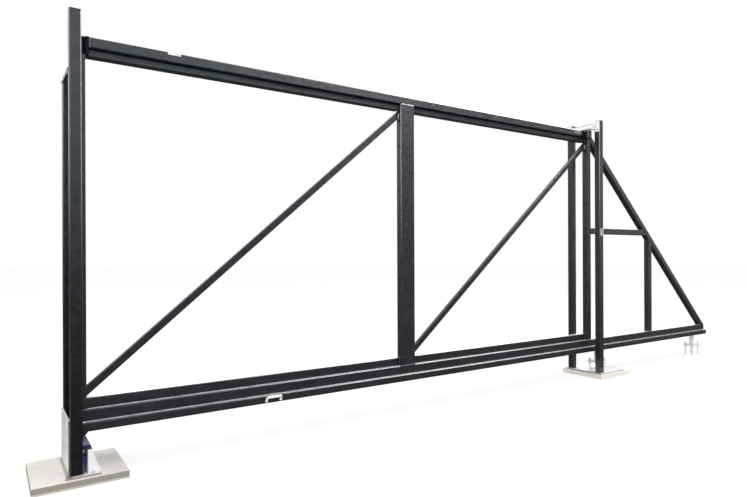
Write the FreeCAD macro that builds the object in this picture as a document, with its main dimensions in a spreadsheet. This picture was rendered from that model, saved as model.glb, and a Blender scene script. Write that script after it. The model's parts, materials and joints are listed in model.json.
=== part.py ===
"""Self-supporting sliding driveway gate: skeleton leaf, two portals, two roller carriages.

Frame: +X runs along the leaf toward its counterweight tail, which is the way the gate opens.
+Z is up.  The leaf's middle plane is Y = 0 and its show side faces -Y.
The origin lies on the underside of the guide portal's board, under the middle of its posts.
"""
import FreeCAD
import Part
import math
import os
import re
import Sketcher

# Driving sizes in millimetres: alias, value
SIZES = [
    # Portals: pairs of posts that stand before and behind the leaf
    ("portal_pitch", 3155),
    ("post_side", 40),
    ("post_wall", 2.5),
    ("post_bend", 4),
    ("post_over_leaf", 61),
    ("post_clear_gap", 176),
    ("cap_head", 4),
    ("cap_plug", 18),
    ("cap_fit", 0.3),
    # Boards and base plates under the portals
    ("board_thick", 28),
    ("board_long", 320),
    ("board_deep", 310),
    ("catch_board_lead", 126),
    ("guide_board_lead", 25),
    ("base_thick", 8),
    ("base_deep", 276),
    ("catch_base_long", 121),
    ("catch_base_lead", 19),
    ("guide_base_long", 260),
    ("guide_base_lead", 10),
    # Running rail: a stepped channel, open below
    ("rail_rise", 134),
    ("rail_long", 4680),
    ("rail_low_wide", 120),
    ("rail_low_high", 36),
    ("rail_up_wide", 80),
    ("rail_high", 80),
    ("rail_wall", 4),
    ("rail_bend", 6),
    ("rail_slot", 32),
    ("rail_nose_lead", 24),
    # Leaf frame
    ("leaf_high", 1500),
    ("frame_side", 40),
    ("frame_wall", 2.5),
    ("frame_bend", 4),
    ("top_rail_high", 40),
    ("top_tube_high", 30),
    ("mid_post_width", 90),
    ("rear_stile_offset", 12),
    ("brace_high", 30),
    ("brace_deep", 20),
    ("brace_wall", 2),
    ("brace_bend", 3),
    ("brace_corner_gap", 5),
    # Fixing holes for a filling, drilled through the upright tubes' narrow sides
    ("fixing_hole", 10),
    ("fixing_pitch", 235),
    ("fixing_count", 5),
    # Tail
    ("tail_upright_gap", 34),
    ("tail_bar_level", 724),
    ("strut_top_drop", 20),
    # Guide yoke over the leaf
    ("yoke_clear", 5),
    ("yoke_thick", 5),
    ("yoke_bend", 7),
    ("yoke_leg_high", 43),
    ("yoke_reach", 61),
    ("yoke_end_inset", 22),
    ("yoke_chamfer_deep", 19),
    ("yoke_chamfer_high", 27),
    ("roller_diameter", 40),
    ("roller_high", 50),
    ("roller_gap", 0.5),
    ("roller_bore", 12.6),
    ("roller_bolt", 12),
    ("roller_inset", 25),
    ("roller_seat_gap", 0.3),
    ("roller_head_flats", 24),
    ("roller_head_high", 4),
    # Catch fittings
    ("plate_thick", 6),
    ("catch_low_high", 198),
    ("catch_up_drop", 38),
    ("catch_up_high", 114),
    ("catch_plate_overlap", 34),
    ("jaw_thick", 4),
    ("jaw_clear", 6),
    ("jaw_reach", 46),
    ("jaw_height", 90),
    ("jaw_flare", 9),
    ("jaw_flare_long", 14),
    # Landing bracket and end roller
    ("end_roller_diameter", 60),
    ("end_roller_wide", 20),
    ("end_roller_inset", 22),
    ("end_roller_bore", 12.6),
    ("end_axle", 12),
    ("fork_wall", 5),
    ("fork_clear", 3),
    ("fork_long", 36),
    ("fork_lead", 4),
    ("fork_below", 12),
    ("landing_gap", 0.3),
    ("landing_post_gap", 1),
    ("landing_wide", 236),
    ("landing_sheet", 5),
    ("landing_flat", 25),
    ("landing_foot", 58),
    ("landing_toe", 16),
    ("landing_notch_high", 49),
    ("landing_slot_long", 28),
    ("landing_slot_wide", 12),
    ("landing_slot_bend", 5),
    ("landing_slot_inset", 4),
    ("landing_slot_drop", 14),
    # Roller carriages inside the rail
    ("carriage_front_at", 130),
    ("carriage_rear_inset", 112),
    ("carriage_plate_long", 120),
    ("carriage_plate_deep", 84),
    ("carriage_plate_thick", 8),
    ("carriage_plate_rise", 44),
    ("stud_diameter", 12),
    ("stud_pitch_length", 90),
    ("stud_pitch_deep", 54),
    ("nut_flats", 19),
    ("nut_high", 10),
    ("stem_long", 46),
    ("stem_thick", 16),
    ("bogie_long", 132),
    ("bogie_high", 34),
    ("wheel_diameter", 64),
    ("wheel_wide", 15),
    ("wheel_pitch", 84),
    ("wheel_axle", 14),
    ("wheel_axle_fit", 0.6),
    ("wheel_gap", 0.3),
    ("wheel_side_gap", 1.5),
    # Small pieces on the leaf
    ("end_cap_thick", 3),
    ("buffer_deep", 70),
    ("handle_at", 797),
    ("handle_span", 77),
    ("handle_bar", 8),
    ("handle_bend", 12),
    ("handle_reach", 28),
    ("handle_lean", 50),
    ("handle_level", 8),
]
NAMES = {name for name, _ in SIZES}

doc = FreeCAD.newDocument("SlidingGate")
sheet = doc.addObject("Spreadsheet::Sheet", "Sizes")
for row, (name, value) in enumerate(SIZES, start=1):
    sheet.set(f"A{row}", name)
    sheet.set(f"B{row}", str(value))
    sheet.setAlias(f"B{row}", name)
doc.recompute()

# Levels and lines that several pieces share, written in the sheet's words
BASE_TOP = "(board_thick + base_thick)"
RAIL_BOTTOM = f"({BASE_TOP} + rail_rise)"
RAIL_TOP = f"({RAIL_BOTTOM} + rail_high)"
BOTTOM_TUBE_TOP = f"({RAIL_TOP} + frame_side)"
LEAF_TOP = f"({RAIL_BOTTOM} + leaf_high)"
TOP_RAIL_BOTTOM = f"({LEAF_TOP} - top_rail_high)"
TOP_TUBE_BOTTOM = f"({TOP_RAIL_BOTTOM} - top_tube_high)"
POST_TOP = f"({LEAF_TOP} + post_over_leaf)"
SHOW_FACE = "(0 - rail_up_wide / 2)"
POST_FRONT_FACE = "(0 - post_clear_gap / 2 - post_side)"
POST_BACK_NEAR = "(post_clear_gap / 2)"
CATCH_LEFT = "(0 - portal_pitch - post_side / 2)"
GUIDE_LEFT = "(0 - post_side / 2)"
LEAF_FRONT = f"({CATCH_LEFT} + rail_nose_lead)"
STILE_RIGHT = f"({LEAF_FRONT} + frame_side)"
REAR_LEFT = "(0 - rear_stile_offset - frame_side / 2)"
REAR_RIGHT = "(0 - rear_stile_offset + frame_side / 2)"
MID_LEFT = f"(({STILE_RIGHT} + {REAR_LEFT} - mid_post_width) / 2)"
MID_RIGHT = f"(({STILE_RIGHT} + {REAR_LEFT} + mid_post_width) / 2)"
RAIL_END = f"({LEAF_FRONT} + rail_long)"

# The strut's upper edge falls from the rear stile to the rail's end
STRUT_TOP = f"({TOP_RAIL_BOTTOM} + strut_top_drop)"
STRUT_RUN = f"({RAIL_END} - {REAR_RIGHT})"
STRUT_FALL = f"({STRUT_TOP} - {RAIL_TOP})"
STRUT_SLOPE = f"({STRUT_FALL} / {STRUT_RUN})"
STRUT_ANGLE = f"atan({STRUT_SLOPE})"


def sized(text, write):
    """The text with every word that names a size rewritten."""
    return re.sub(r"[a-z]\w*", lambda found: write(found[0]) if found[0] in NAMES else found[0], str(text))


def cell(text):
    """Give the sheet's name to every size in an expression."""
    return sized(text, lambda word: f"Sizes.{word}")


def value_of(text):
    """The present number of an expression."""
    return float(sheet.evalExpression(sized(text, lambda word: str(sheet.get(word)))))


def place(obj, at):
    """Bind an object's placement base to three expressions."""
    for axis, text in zip("xyz", at):
        obj.setExpression(f"Placement.Base.{axis}", cell(text))


def tilt(obj, angle, axis):
    """Turn an object by an angle expression about an axis through its base."""
    obj.Placement = FreeCAD.Placement(obj.Placement.Base, FreeCAD.Rotation(FreeCAD.Vector(*axis), 1))
    obj.setExpression("Placement.Rotation.Angle", cell(angle))


def box(label, at, long, deep, high):
    """A plain block with its least corner at the given place."""
    obj = doc.addObject("Part::Box", label)
    obj.Label = label
    for side, text in (("Length", long), ("Width", deep), ("Height", high)):
        obj.setExpression(side, cell(text))
    place(obj, at)
    return obj


def turn(label, at, axis, diameter, length):
    """A round bar from the given place along X, Y or Z."""
    obj = doc.addObject("Part::Cylinder", label)
    obj.Label = label
    obj.setExpression("Radius", cell(f"({diameter}) / 2"))
    obj.setExpression("Height", cell(length))
    spin = {
        "x": FreeCAD.Rotation(FreeCAD.Vector(0, 1, 0), 90),
        "y": FreeCAD.Rotation(FreeCAD.Vector(1, 0, 0), -90),
        "z": FreeCAD.Rotation(),
    }
    obj.Placement = FreeCAD.Placement(FreeCAD.Vector(), spin[axis])
    place(obj, at)
    return obj


def hexagon(label, at, flats="nut_flats", high="nut_high"):
    """A hexagon nut or bolt head that stands on the given place."""
    obj = doc.addObject("Part::Prism", label)
    obj.Label = label
    obj.Polygon = 6
    obj.setExpression("Circumradius", cell(f"{flats} / 2 / cos(30)"))
    obj.setExpression("Height", cell(high))
    place(obj, at)
    return obj


def cut(label, base, tools):
    """Base less every tool."""
    for number, tool in enumerate(tools, start=1):
        obj = doc.addObject("Part::Cut", label if number == len(tools) else f"{label}_step{number}")
        obj.Base = base
        obj.Tool = tool
        obj.Label = obj.Name
        base = obj
    return base


def trim(label, base, room):
    """What of the base lies inside the room."""
    obj = doc.addObject("Part::Common", label)
    obj.Base = base
    obj.Tool = room
    obj.Label = label
    return obj


def fuse(label, pieces):
    """One solid made of touching pieces."""
    obj = doc.addObject("Part::MultiFuse", label)
    obj.Shapes = pieces
    obj.Refine = True
    obj.Label = label
    return obj


def group(label, pieces):
    """Like pieces that share one node and do not touch."""
    obj = doc.addObject("Part::Compound", label)
    obj.Links = pieces
    obj.Label = label
    return obj


def way(start, stop):
    """The direction from one number to another: -1, 0 or 1."""
    return (stop > start) - (stop < start)


def toward(corner, other):
    """The directions that lead from one corner to another."""
    return [way(value_of(start), value_of(stop)) for start, stop in zip(corner, other)]


def moved(corner, steps, reach):
    """A corner's expressions, moved by a reach along the given directions."""
    return [text if step == 0 else f"{text} + ({step}) * ({reach})" for text, step in zip(corner, steps)]


def clipped(corners, bends):
    """The outline with each bend cut off at 45 degrees, along the tangent of its arc."""
    loop = []
    for i, (corner, bend) in enumerate(zip(corners, bends)):
        if bend is None:
            loop.append(corner)
            continue
        for other in (corners[i - 1], corners[(i + 1) % len(corners)]):
            loop.append(moved(corner, toward(corner, other), f"{bend} * (2 - sqrt(2))"))
    return loop


def fix(sketch, geometry, point, corner, axes="XY"):
    """Bind a sketch point's coordinates to expressions."""
    for axis, text in zip("XY", corner):
        if axis in axes:
            rule = Sketcher.Constraint(f"Distance{axis}", -1, 1, geometry, point, value_of(text))
            sketch.setExpression(f"Constraints[{sketch.addConstraint(rule)}]", cell(text))


def draw(sketch, corners, radii):
    """A closed loop of straight runs; a corner with a radius gets an arc tangent to both its runs."""
    count = len(corners)
    ends = []
    for i, (corner, radius) in enumerate(zip(corners, radii)):
        if radius is None:
            ends.append((corner, corner, None, 1))
            continue
        back = toward(corner, corners[i - 1])
        leave = toward(corner, corners[(i + 1) % count])
        centre = moved(moved(corner, back, radius), leave, radius)
        turning = back[1] * leave[0] - back[0] * leave[1]
        ends.append((moved(corner, back, radius), moved(corner, leave, radius), centre, turning))
    runs = []
    for i in range(count):
        tips = [FreeCAD.Vector(*map(value_of, tip), 0) for tip in (ends[i][1], ends[(i + 1) % count][0])]
        runs.append(sketch.addGeometry(Part.LineSegment(*tips), False))
    for i, (first, last, centre, turning) in enumerate(ends):
        fix(sketch, runs[i], 1, last)
        if centre is None:
            sketch.addConstraint(Sketcher.Constraint("Coincident", runs[i - 1], 2, runs[i], 1))
            continue
        fix(sketch, runs[i - 1], 2, first)
        middle = FreeCAD.Vector(*map(value_of, centre), 0)
        start, stop = (first, last) if turning > 0 else (last, first)
        angles = [math.atan2(value_of(v) - middle.y, value_of(u) - middle.x) for u, v in (start, stop)]
        circle = Part.Circle(middle, FreeCAD.Vector(0, 0, 1), value_of(radii[i]))
        arc = sketch.addGeometry(Part.ArcOfCircle(circle, angles[0], angles[1] % (2 * math.pi)), False)
        near, far = (1, 2) if turning > 0 else (2, 1)
        sketch.addConstraint(Sketcher.Constraint("Coincident", runs[i - 1], 2, arc, near))
        sketch.addConstraint(Sketcher.Constraint("Coincident", runs[i], 1, arc, far))
        fix(sketch, arc, 3, centre, "X")


def outline_sketch(body, plane):
    """An empty sketch in one of a body's base planes."""
    sketch = body.newObject("Sketcher::SketchObject", f"{body.Name}_outline")
    origin_plane = [feature for feature in body.Origin.OriginFeatures if feature.Role == plane][0]
    sketch.AttachmentSupport = [(origin_plane, "")]
    sketch.MapMode = "FlatFace"
    return sketch


def profile(label, loops, plane, reach, at):
    """Closed loops in one of a body's base planes, padded away from it and put in place."""
    body = doc.addObject("PartDesign::Body", label)
    body.Label = label
    sketch = outline_sketch(body, plane)
    for corners, radii in loops:
        draw(sketch, corners, radii if isinstance(radii, list) else [radii] * len(corners))
    pad = body.newObject("PartDesign::Pad", f"{label}_pad")
    pad.Profile = sketch
    pad.setExpression("Length", cell(reach))
    place(body, at)
    return body


def turned(label, corners, at):
    """A half outline in the upright cross plane, spun about its lower edge along Y and put in place."""
    body = doc.addObject("PartDesign::Body", label)
    body.Label = label
    sketch = outline_sketch(body, "YZ_Plane")
    draw(sketch, corners, [None] * len(corners))
    spin = body.newObject("PartDesign::Revolution", f"{label}_turn")
    spin.Profile = sketch
    spin.ReferenceAxis = (sketch, ["H_Axis"])
    spin.Angle = 360
    place(body, at)
    return body


def rectangle(inset, wide, high):
    """Corners of a rectangle, set in from a wide by high one."""
    return [(inset, inset), (f"{wide} - {inset}", inset), (f"{wide} - {inset}", f"{high} - {inset}"),
            (inset, f"{high} - {inset}")]


def tube(label, at, sides, axis, wall="frame_wall", bend="frame_bend"):
    """A rectangular hollow section with rounded outer edges, open at both ends along its axis."""
    plane, wide, high = {
        "x": ("YZ_Plane", sides[1], sides[2]),
        "z": ("XY_Plane", sides[0], sides[1]),
    }[axis]
    reach = sides["xyz".index(axis)]
    loops = [(rectangle("0", wide, high), bend), (rectangle(wall, wide, high), None)]
    return profile(label, loops, plane, reach, at)


def mirrored(points):
    """The same corners on the other side of the upright axis, in reversed order."""
    return [(f"0 - ({y})", z) for y, z in reversed(points)]


parts = []


def footing(side, left):
    """Timber board and steel base plate under a portal."""
    parts.append(box(f"{side}_board", (f"{left} - {side}_board_lead", "0 - board_deep / 2", "0"),
                     "board_long", "board_deep", "board_thick"))
    parts.append(box(f"{side}_base_plate", (f"{left} - {side}_base_lead", "0 - base_deep / 2", "board_thick"),
                     f"{side}_base_long", "base_deep", "base_thick"))


def portal(side, left):
    """Two posts with plug caps, before and behind the leaf."""
    inset = "(post_wall + cap_fit)"
    for row, face in (("front", POST_FRONT_FACE), ("rear", POST_BACK_NEAR)):
        name = f"{side}_post_{row}"
        sides = ("post_side", "post_side", f"{POST_TOP} - {BASE_TOP}")
        parts.append(tube(name, (left, face, BASE_TOP), sides, "z", "post_wall", "post_bend"))
        lid = clipped(rectangle("0", "post_side", "post_side"), ["post_bend"] * 4)
        head = profile(f"{name}_cap_head", [(lid, None)], "XY_Plane", "cap_head", (left, face, POST_TOP))
        plug = box(f"{name}_cap_plug", (f"{left} + {inset}", f"{face} + {inset}", f"{POST_TOP} - cap_plug"),
                   f"post_side - 2 * {inset}", f"post_side - 2 * {inset}", "cap_plug")
        parts.append(fuse(f"{name}_cap", [head, plug]))


def catch_plates():
    """Cross plates on the catch posts' outer faces, and the flared jaws that hold the leaf's nose."""
    left = f"{CATCH_LEFT} - plate_thick"
    deep = "post_clear_gap + 2 * catch_plate_overlap"
    at_y = "0 - post_clear_gap / 2 - catch_plate_overlap"
    plate_top = f"({LEAF_TOP} - catch_up_drop)"
    parts.append(box("catch_lower_plate", (left, at_y, BASE_TOP), "plate_thick", deep, "catch_low_high"))
    parts.append(box("catch_upper_plate", (left, at_y, f"{plate_top} - catch_up_high"), "plate_thick", deep,
                     "catch_up_high"))
    jaw = [
        ("0", "0"),
        ("jaw_reach - jaw_flare_long", "0"),
        ("jaw_reach", "jaw_flare"),
        ("jaw_reach", "jaw_flare + jaw_thick"),
        ("jaw_reach - jaw_flare_long", "jaw_thick"),
        ("0", "jaw_thick"),
    ]
    near = "(rail_up_wide / 2 + jaw_clear)"
    for row, corners, y in (("front", [(u, f"0 - ({v})") for u, v in reversed(jaw)], f"0 - {near}"),
                            ("rear", jaw, near)):
        parts.append(profile(f"catch_jaw_{row}", [(corners, None)], "XY_Plane", "jaw_height",
                             (CATCH_LEFT, y, f"{plate_top} - jaw_height")))


def landing_bracket():
    """Folded shoe beside the catch posts: a flat for the end roller, a lead-in slope and two cheeks."""
    top = f"({RAIL_BOTTOM} - end_roller_diameter / 2 - landing_gap - {BASE_TOP})"
    at_x = f"({CATCH_LEFT} + post_side + landing_post_gap)"
    # The sheet's edge on the slope, level with its surface
    edge = f"(landing_sheet * sqrt(1 + (landing_foot - landing_flat)^2 / {top}^2))"
    sheet_outline = [
        ("0", f"{top} - landing_sheet"),
        ("landing_flat - landing_sheet / 2", f"{top} - landing_sheet"),
        (f"landing_foot - {edge}", "0"),
        ("landing_foot", "0"),
        ("landing_flat", top),
        ("0", top),
    ]
    cheek = [
        ("0", "landing_notch_high"),
        ("landing_toe", "0"),
        ("landing_foot", "0"),
        ("landing_flat", top),
        ("0", top),
    ]
    low = f"{top} - landing_slot_drop - landing_slot_long"
    slot = [
        ("landing_slot_inset", low),
        ("landing_slot_inset + landing_slot_wide", low),
        ("landing_slot_inset + landing_slot_wide", f"{low} + landing_slot_long"),
        ("landing_slot_inset", f"{low} + landing_slot_long"),
    ]
    pieces = [profile("landing_sheet_folded", [(sheet_outline, None)], "XZ_Plane", "landing_wide",
                      (at_x, "landing_wide / 2", BASE_TOP))]
    for row, y in (("front", "landing_sheet - landing_wide / 2"), ("rear", "landing_wide / 2")):
        loops = [(cheek, None), (slot, "landing_slot_bend")]
        pieces.append(profile(f"landing_cheek_{row}", loops, "XZ_Plane", "landing_sheet",
                              (at_x, y, BASE_TOP)))
    parts.append(fuse("landing_bracket", pieces))


def guide_yoke():
    """Bent angle that bridges the guide posts over the leaf and carries the two guide rollers."""
    shelf_z = f"({LEAF_TOP} + yoke_clear)"
    half = "(post_clear_gap / 2 + post_side - yoke_end_inset)"
    angle = [
        ("0 - yoke_reach", "0"),
        ("0", "0"),
        ("0", "yoke_leg_high"),
        ("0 - yoke_thick", "yoke_leg_high"),
        ("0 - yoke_thick", "yoke_thick"),
        ("0 - yoke_reach", "yoke_thick"),
    ]
    bends = [None, "yoke_bend", None, None, "(yoke_bend - yoke_thick)", None]
    bent = profile("guide_yoke_angle", [(angle, bends)], "XZ_Plane", f"2 * {half}",
                   (GUIDE_LEFT, half, shelf_z))
    chamfer = [(half, "0 - yoke_chamfer_high"), (half, "0"), (f"{half} - yoke_chamfer_deep", "0")]
    corners = [
        profile(f"guide_yoke_chamfer_{row}", [(points, None)], "YZ_Plane", "yoke_thick",
                (f"{GUIDE_LEFT} - yoke_thick", "0", f"{shelf_z} + yoke_leg_high"))
        for row, points in (("rear", chamfer), ("front", mirrored(chamfer)))
    ]
    pieces = [cut("guide_yoke_plate", bent, corners)]
    x = f"{GUIDE_LEFT} - roller_inset"
    roller_z = f"({shelf_z} - yoke_clear - roller_seat_gap - roller_high)"
    head_z = f"({roller_z} - roller_seat_gap - roller_head_high)"
    for row, sign in (("front", "-"), ("rear", "+")):
        y = f"0 {sign} (rail_up_wide / 2 + roller_gap + roller_diameter / 2)"
        pieces.append(turn(f"guide_bolt_{row}", (x, y, head_z), "z", "roller_bolt",
                           f"{shelf_z} + yoke_thick - {head_z}"))
        pieces.append(hexagon(f"guide_bolt_head_{row}", (x, y, head_z), "roller_head_flats",
                              "roller_head_high"))
        pieces.append(hexagon(f"guide_bolt_nut_{row}", (x, y, f"{shelf_z} + yoke_thick")))
        body = turn(f"guide_roller_{row}_body", (x, y, roller_z), "z", "roller_diameter", "roller_high")
        bore = turn(f"guide_roller_{row}_bore", (x, y, head_z), "z", "roller_bore",
                    "roller_high + 2 * roller_head_high")
        parts.append(cut(f"guide_roller_{row}", body, [bore]))
    parts.append(fuse("guide_yoke", pieces))


def carriage(side, at_x, foot_z):
    """Wheeled bogie inside the rail on a stem, whose plate stands on four studs with nuts."""
    plate_z = f"({BASE_TOP} + carriage_plate_rise)"
    plate_top = f"({plate_z} + carriage_plate_thick)"
    axle_z = f"({RAIL_BOTTOM} + rail_wall + wheel_gap + wheel_diameter / 2)"
    web_y = "0 - stem_thick / 2"
    frame = fuse(f"{side}_carriage_frame", [
        box(f"{side}_carriage_plate",
            (f"{at_x} - carriage_plate_long / 2", "0 - carriage_plate_deep / 2", plate_z),
            "carriage_plate_long", "carriage_plate_deep", "carriage_plate_thick"),
        box(f"{side}_carriage_stem", (f"{at_x} - stem_long / 2", web_y, plate_top),
            "stem_long", "stem_thick", f"{axle_z} - {plate_top}"),
        box(f"{side}_carriage_web", (f"{at_x} - bogie_long / 2", web_y, f"{axle_z} - bogie_high / 2"),
            "bogie_long", "stem_thick", "bogie_high"),
    ])
    bores = []
    wheelsets = []
    for end, sign in (("a", "-"), ("b", "+")):
        x = f"{at_x} {sign} wheel_pitch / 2"
        bores.append(turn(f"{side}_axle_bore_{end}", (x, web_y, axle_z), "y", "wheel_axle + wheel_axle_fit",
                          "stem_thick"))
        wheelsets.append(turned(f"{side}_wheelset_{end}", wheelset_outline(), (x, "0", axle_z)))
    studs = []
    for i, sx in enumerate("-+"):
        for j, sy in enumerate("-+"):
            spot = (f"{at_x} {sx} stud_pitch_length / 2", f"0 {sy} stud_pitch_deep / 2")
            rod = turn(f"{side}_stud_rod_{i}{j}", (*spot, foot_z), "z", "stud_diameter",
                       f"{plate_z} - {foot_z}")
            under = hexagon(f"{side}_stud_nut_{i}{j}", (*spot, f"{plate_z} - nut_high"))
            studs.append(fuse(f"{side}_stud_{i}{j}", [rod, under]))
    parts.append(cut(f"{side}_carriage", frame, bores))
    parts.append(group(f"{side}_carriage_wheels", wheelsets))
    parts.append(group(f"{side}_carriage_studs", studs))


def wheelset_outline():
    """Half outline of two wheels on one axle, from the axle's line outward."""
    near = "(rail_slot / 2 + wheel_side_gap)"
    far = f"({near} + wheel_wide)"
    pin = "(wheel_axle / 2)"
    tread = "(wheel_diameter / 2)"
    right = [(far, "0"), (far, tread), (near, tread), (near, pin)]
    return right + mirrored(right)


def running_rail():
    """Stepped channel with in-turned lips; its slot is opened at the nose for the end roller."""
    low = "rail_low_wide / 2"
    up = "rail_up_wide / 2"
    wall = "rail_wall"
    bend = "rail_bend"
    outer = [
        ("rail_slot / 2", "0"),
        (low, "0"),
        (low, "rail_low_high"),
        (up, "rail_low_high"),
        (up, "rail_high"),
    ]
    outer_bends = [None, bend, bend, None, bend]
    inner = [
        (f"{up} - {wall}", f"rail_high - {wall}"),
        (f"{up} - {wall}", f"rail_low_high - {wall}"),
        (f"{low} - {wall}", f"rail_low_high - {wall}"),
        (f"{low} - {wall}", wall),
        ("rail_slot / 2", wall),
    ]
    outline = outer + mirrored(outer) + mirrored(inner) + inner
    bends = outer_bends + outer_bends[::-1] + [None] * 2 * len(inner)
    rail = profile("rail_channel", [(outline, bends)], "YZ_Plane", "rail_long",
                   (LEAF_FRONT, "0", RAIL_BOTTOM))
    notch_half = "(end_roller_wide / 2 + fork_clear + fork_wall + fork_clear)"
    notch = box("rail_nose_notch", (LEAF_FRONT, f"0 - {notch_half}", RAIL_BOTTOM),
                "end_roller_inset + end_roller_diameter / 2 + fork_clear", f"2 * {notch_half}",
                "2 * rail_wall")
    parts.append(cut("running_rail", rail, [notch]))
    closed = clipped(outer[1:] + mirrored(outer[1:]), outer_bends[1:] + outer_bends[:0:-1])
    parts.append(profile("rail_end_cap", [(closed, None)], "YZ_Plane", "end_cap_thick",
                         (RAIL_END, "0", RAIL_BOTTOM)))


def upright(name, left, wide, top):
    """An upright tube of the leaf, flush with the show face."""
    return tube(name, (left, SHOW_FACE, RAIL_TOP), (wide, "frame_side", f"{top} - {RAIL_TOP}"), "z")


def drilled(name, left, wide):
    """An upright under the top rail, with fixing holes in the wall toward the catch portal."""
    middle = f"(({RAIL_TOP} + {TOP_RAIL_BOTTOM}) / 2)"
    holes = []
    for i in range(int(value_of("fixing_count"))):
        level = f"{middle} + ({i} - (fixing_count - 1) / 2) * fixing_pitch"
        holes.append(turn(f"{name}_hole_{i + 1}", (left, f"{SHOW_FACE} + frame_side / 2", level), "x",
                          "fixing_hole", "frame_side / 2"))
    return cut(name, upright(f"{name}_tube", left, wide, TOP_RAIL_BOTTOM), holes)


def leaf_frame():
    """Tubes of the leaf: stiles, mid-post, bottom and top tubes, braces and the guided top rail."""
    half = "frame_side / 2"
    parts.append(upright("front_stile", LEAF_FRONT, "frame_side", TOP_TUBE_BOTTOM))
    parts.append(drilled("mid_post", MID_LEFT, "mid_post_width"))
    parts.append(drilled("rear_stile", REAR_LEFT, "frame_side"))
    for bay, start, stop in (("front", STILE_RIGHT, MID_LEFT), ("rear", MID_RIGHT, REAR_LEFT)):
        run = f"({stop} - {start})"
        parts.append(tube(f"bottom_tube_{bay}", (start, f"0 - {half}", RAIL_TOP),
                          (run, "frame_side", "frame_side"), "x"))
        parts.append(tube(f"top_tube_{bay}", (start, f"0 - {half}", TOP_TUBE_BOTTOM),
                          (run, "frame_side", "top_tube_high"), "x"))
        brace(bay, start, run)
    parts.append(tube("top_guide_rail", (STILE_RIGHT, SHOW_FACE, TOP_RAIL_BOTTOM),
                      (f"{REAR_RIGHT} - {STILE_RIGHT}", "rail_up_wide", "top_rail_high"), "x"))
    parts.append(box("nose_buffer", (LEAF_FRONT, "0 - buffer_deep / 2", TOP_TUBE_BOTTOM),
                     "frame_side", "buffer_deep", "top_rail_high + top_tube_high"))


def brace(bay, start, run):
    """Diagonal tube of a bay, from its lower front corner to its upper rear corner."""
    low = f"({BOTTOM_TUBE_TOP} + brace_corner_gap)"
    rise = f"({TOP_TUBE_BOTTOM} - brace_corner_gap - {low})"
    diagonal = f"sqrt({run} * {run} + {rise} * {rise})"
    bar = tube(f"brace_{bay}_bar", (start, "0 - brace_deep", low),
               (diagonal, "brace_deep", "brace_high"), "x", "brace_wall", "brace_bend")
    # The bar's lower edge leaves one corner of the room and its upper edge meets the other
    tilt(bar, f"atan({rise} / {run}) - asin(brace_high / {diagonal})", (0, -1, 0))
    room = box(f"brace_{bay}_room", (start, "0 - brace_deep", low), run, "brace_deep", rise)
    parts.append(trim(f"brace_{bay}", bar, room))


def tail():
    """Counterweight triangle behind the guide portal."""
    section = ("frame_side", "frame_side")
    length = f"sqrt({STRUT_RUN} * {STRUT_RUN} + {STRUT_FALL} * {STRUT_FALL})"
    under = (f"{REAR_RIGHT} - frame_side * sin({STRUT_ANGLE})", SHOW_FACE,
             f"{STRUT_TOP} - frame_side * cos({STRUT_ANGLE})")
    bar = tube("tail_strut_bar", under, (length, *section), "x")
    tilt(bar, STRUT_ANGLE, (0, 1, 0))
    room = box("tail_room", (REAR_RIGHT, SHOW_FACE, RAIL_TOP), STRUT_RUN, "frame_side", STRUT_FALL)
    parts.append(trim("tail_strut", bar, room))
    # The cross bar and the upright run past the strut's underside and are cut along it
    upright_thick = f"(frame_side / cos({STRUT_ANGLE}))"
    bar_end = f"(({STRUT_FALL} - {upright_thick} - tail_bar_level) / {STRUT_SLOPE})"
    cross = tube("tail_cross_bar_tube", (REAR_RIGHT, SHOW_FACE, f"{RAIL_TOP} + tail_bar_level"),
                 (bar_end, *section), "x")
    parts.append(cut("tail_cross_bar", cross, [strut_side("cross_bar", under, length)]))
    left = f"({bar_end} + tail_upright_gap)"
    stand = tube("tail_upright_tube", (f"{REAR_RIGHT} + {left}", SHOW_FACE, RAIL_TOP),
                 (*section, f"{STRUT_FALL} - {STRUT_SLOPE} * {left}"), "z")
    parts.append(cut("tail_upright", stand, [strut_side("upright", under, length)]))


def strut_side(name, under, length):
    """Block that lies on the strut's underside and clears what would run into the strut."""
    block = box(f"tail_{name}_clearance", under, length, "frame_side", "3 * frame_side")
    tilt(block, STRUT_ANGLE, (0, 1, 0))
    return block


def end_roller():
    """Fork in the rail's nose with the roller that climbs the landing bracket."""
    axle_x = f"({LEAF_FRONT} + end_roller_inset)"
    gap_half = "(end_roller_wide / 2 + fork_clear)"
    out_half = f"({gap_half} + fork_wall)"
    roof_z = f"({RAIL_TOP} - rail_wall - {RAIL_BOTTOM} + fork_below)"
    saddle = [
        (f"0 - {out_half}", "0"),
        (f"0 - {gap_half}", "0"),
        (f"0 - {gap_half}", f"{roof_z} - fork_wall"),
        (gap_half, f"{roof_z} - fork_wall"),
        (gap_half, "0"),
        (out_half, "0"),
        (out_half, roof_z),
        (f"0 - {out_half}", roof_z),
    ]
    cheeks = profile("end_roller_saddle", [(saddle, None)], "YZ_Plane", "fork_long",
                     (f"{LEAF_FRONT} + fork_lead", "0", f"{RAIL_BOTTOM} - fork_below"))
    axle = turn("end_roller_axle", (axle_x, f"0 - {gap_half}", RAIL_BOTTOM), "y", "end_axle",
                f"2 * {gap_half}")
    parts.append(fuse("end_roller_fork", [cheeks, axle]))
    half = "(end_roller_wide / 2)"
    tread = turn("end_roller_tread", (axle_x, f"0 - {half}", RAIL_BOTTOM), "y", "end_roller_diameter",
                 "end_roller_wide")
    bore = turn("end_roller_hole", (axle_x, f"0 - {half}", RAIL_BOTTOM), "y", "end_roller_bore",
                "end_roller_wide")
    parts.append(cut("end_roller", tread, [bore]))


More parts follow.
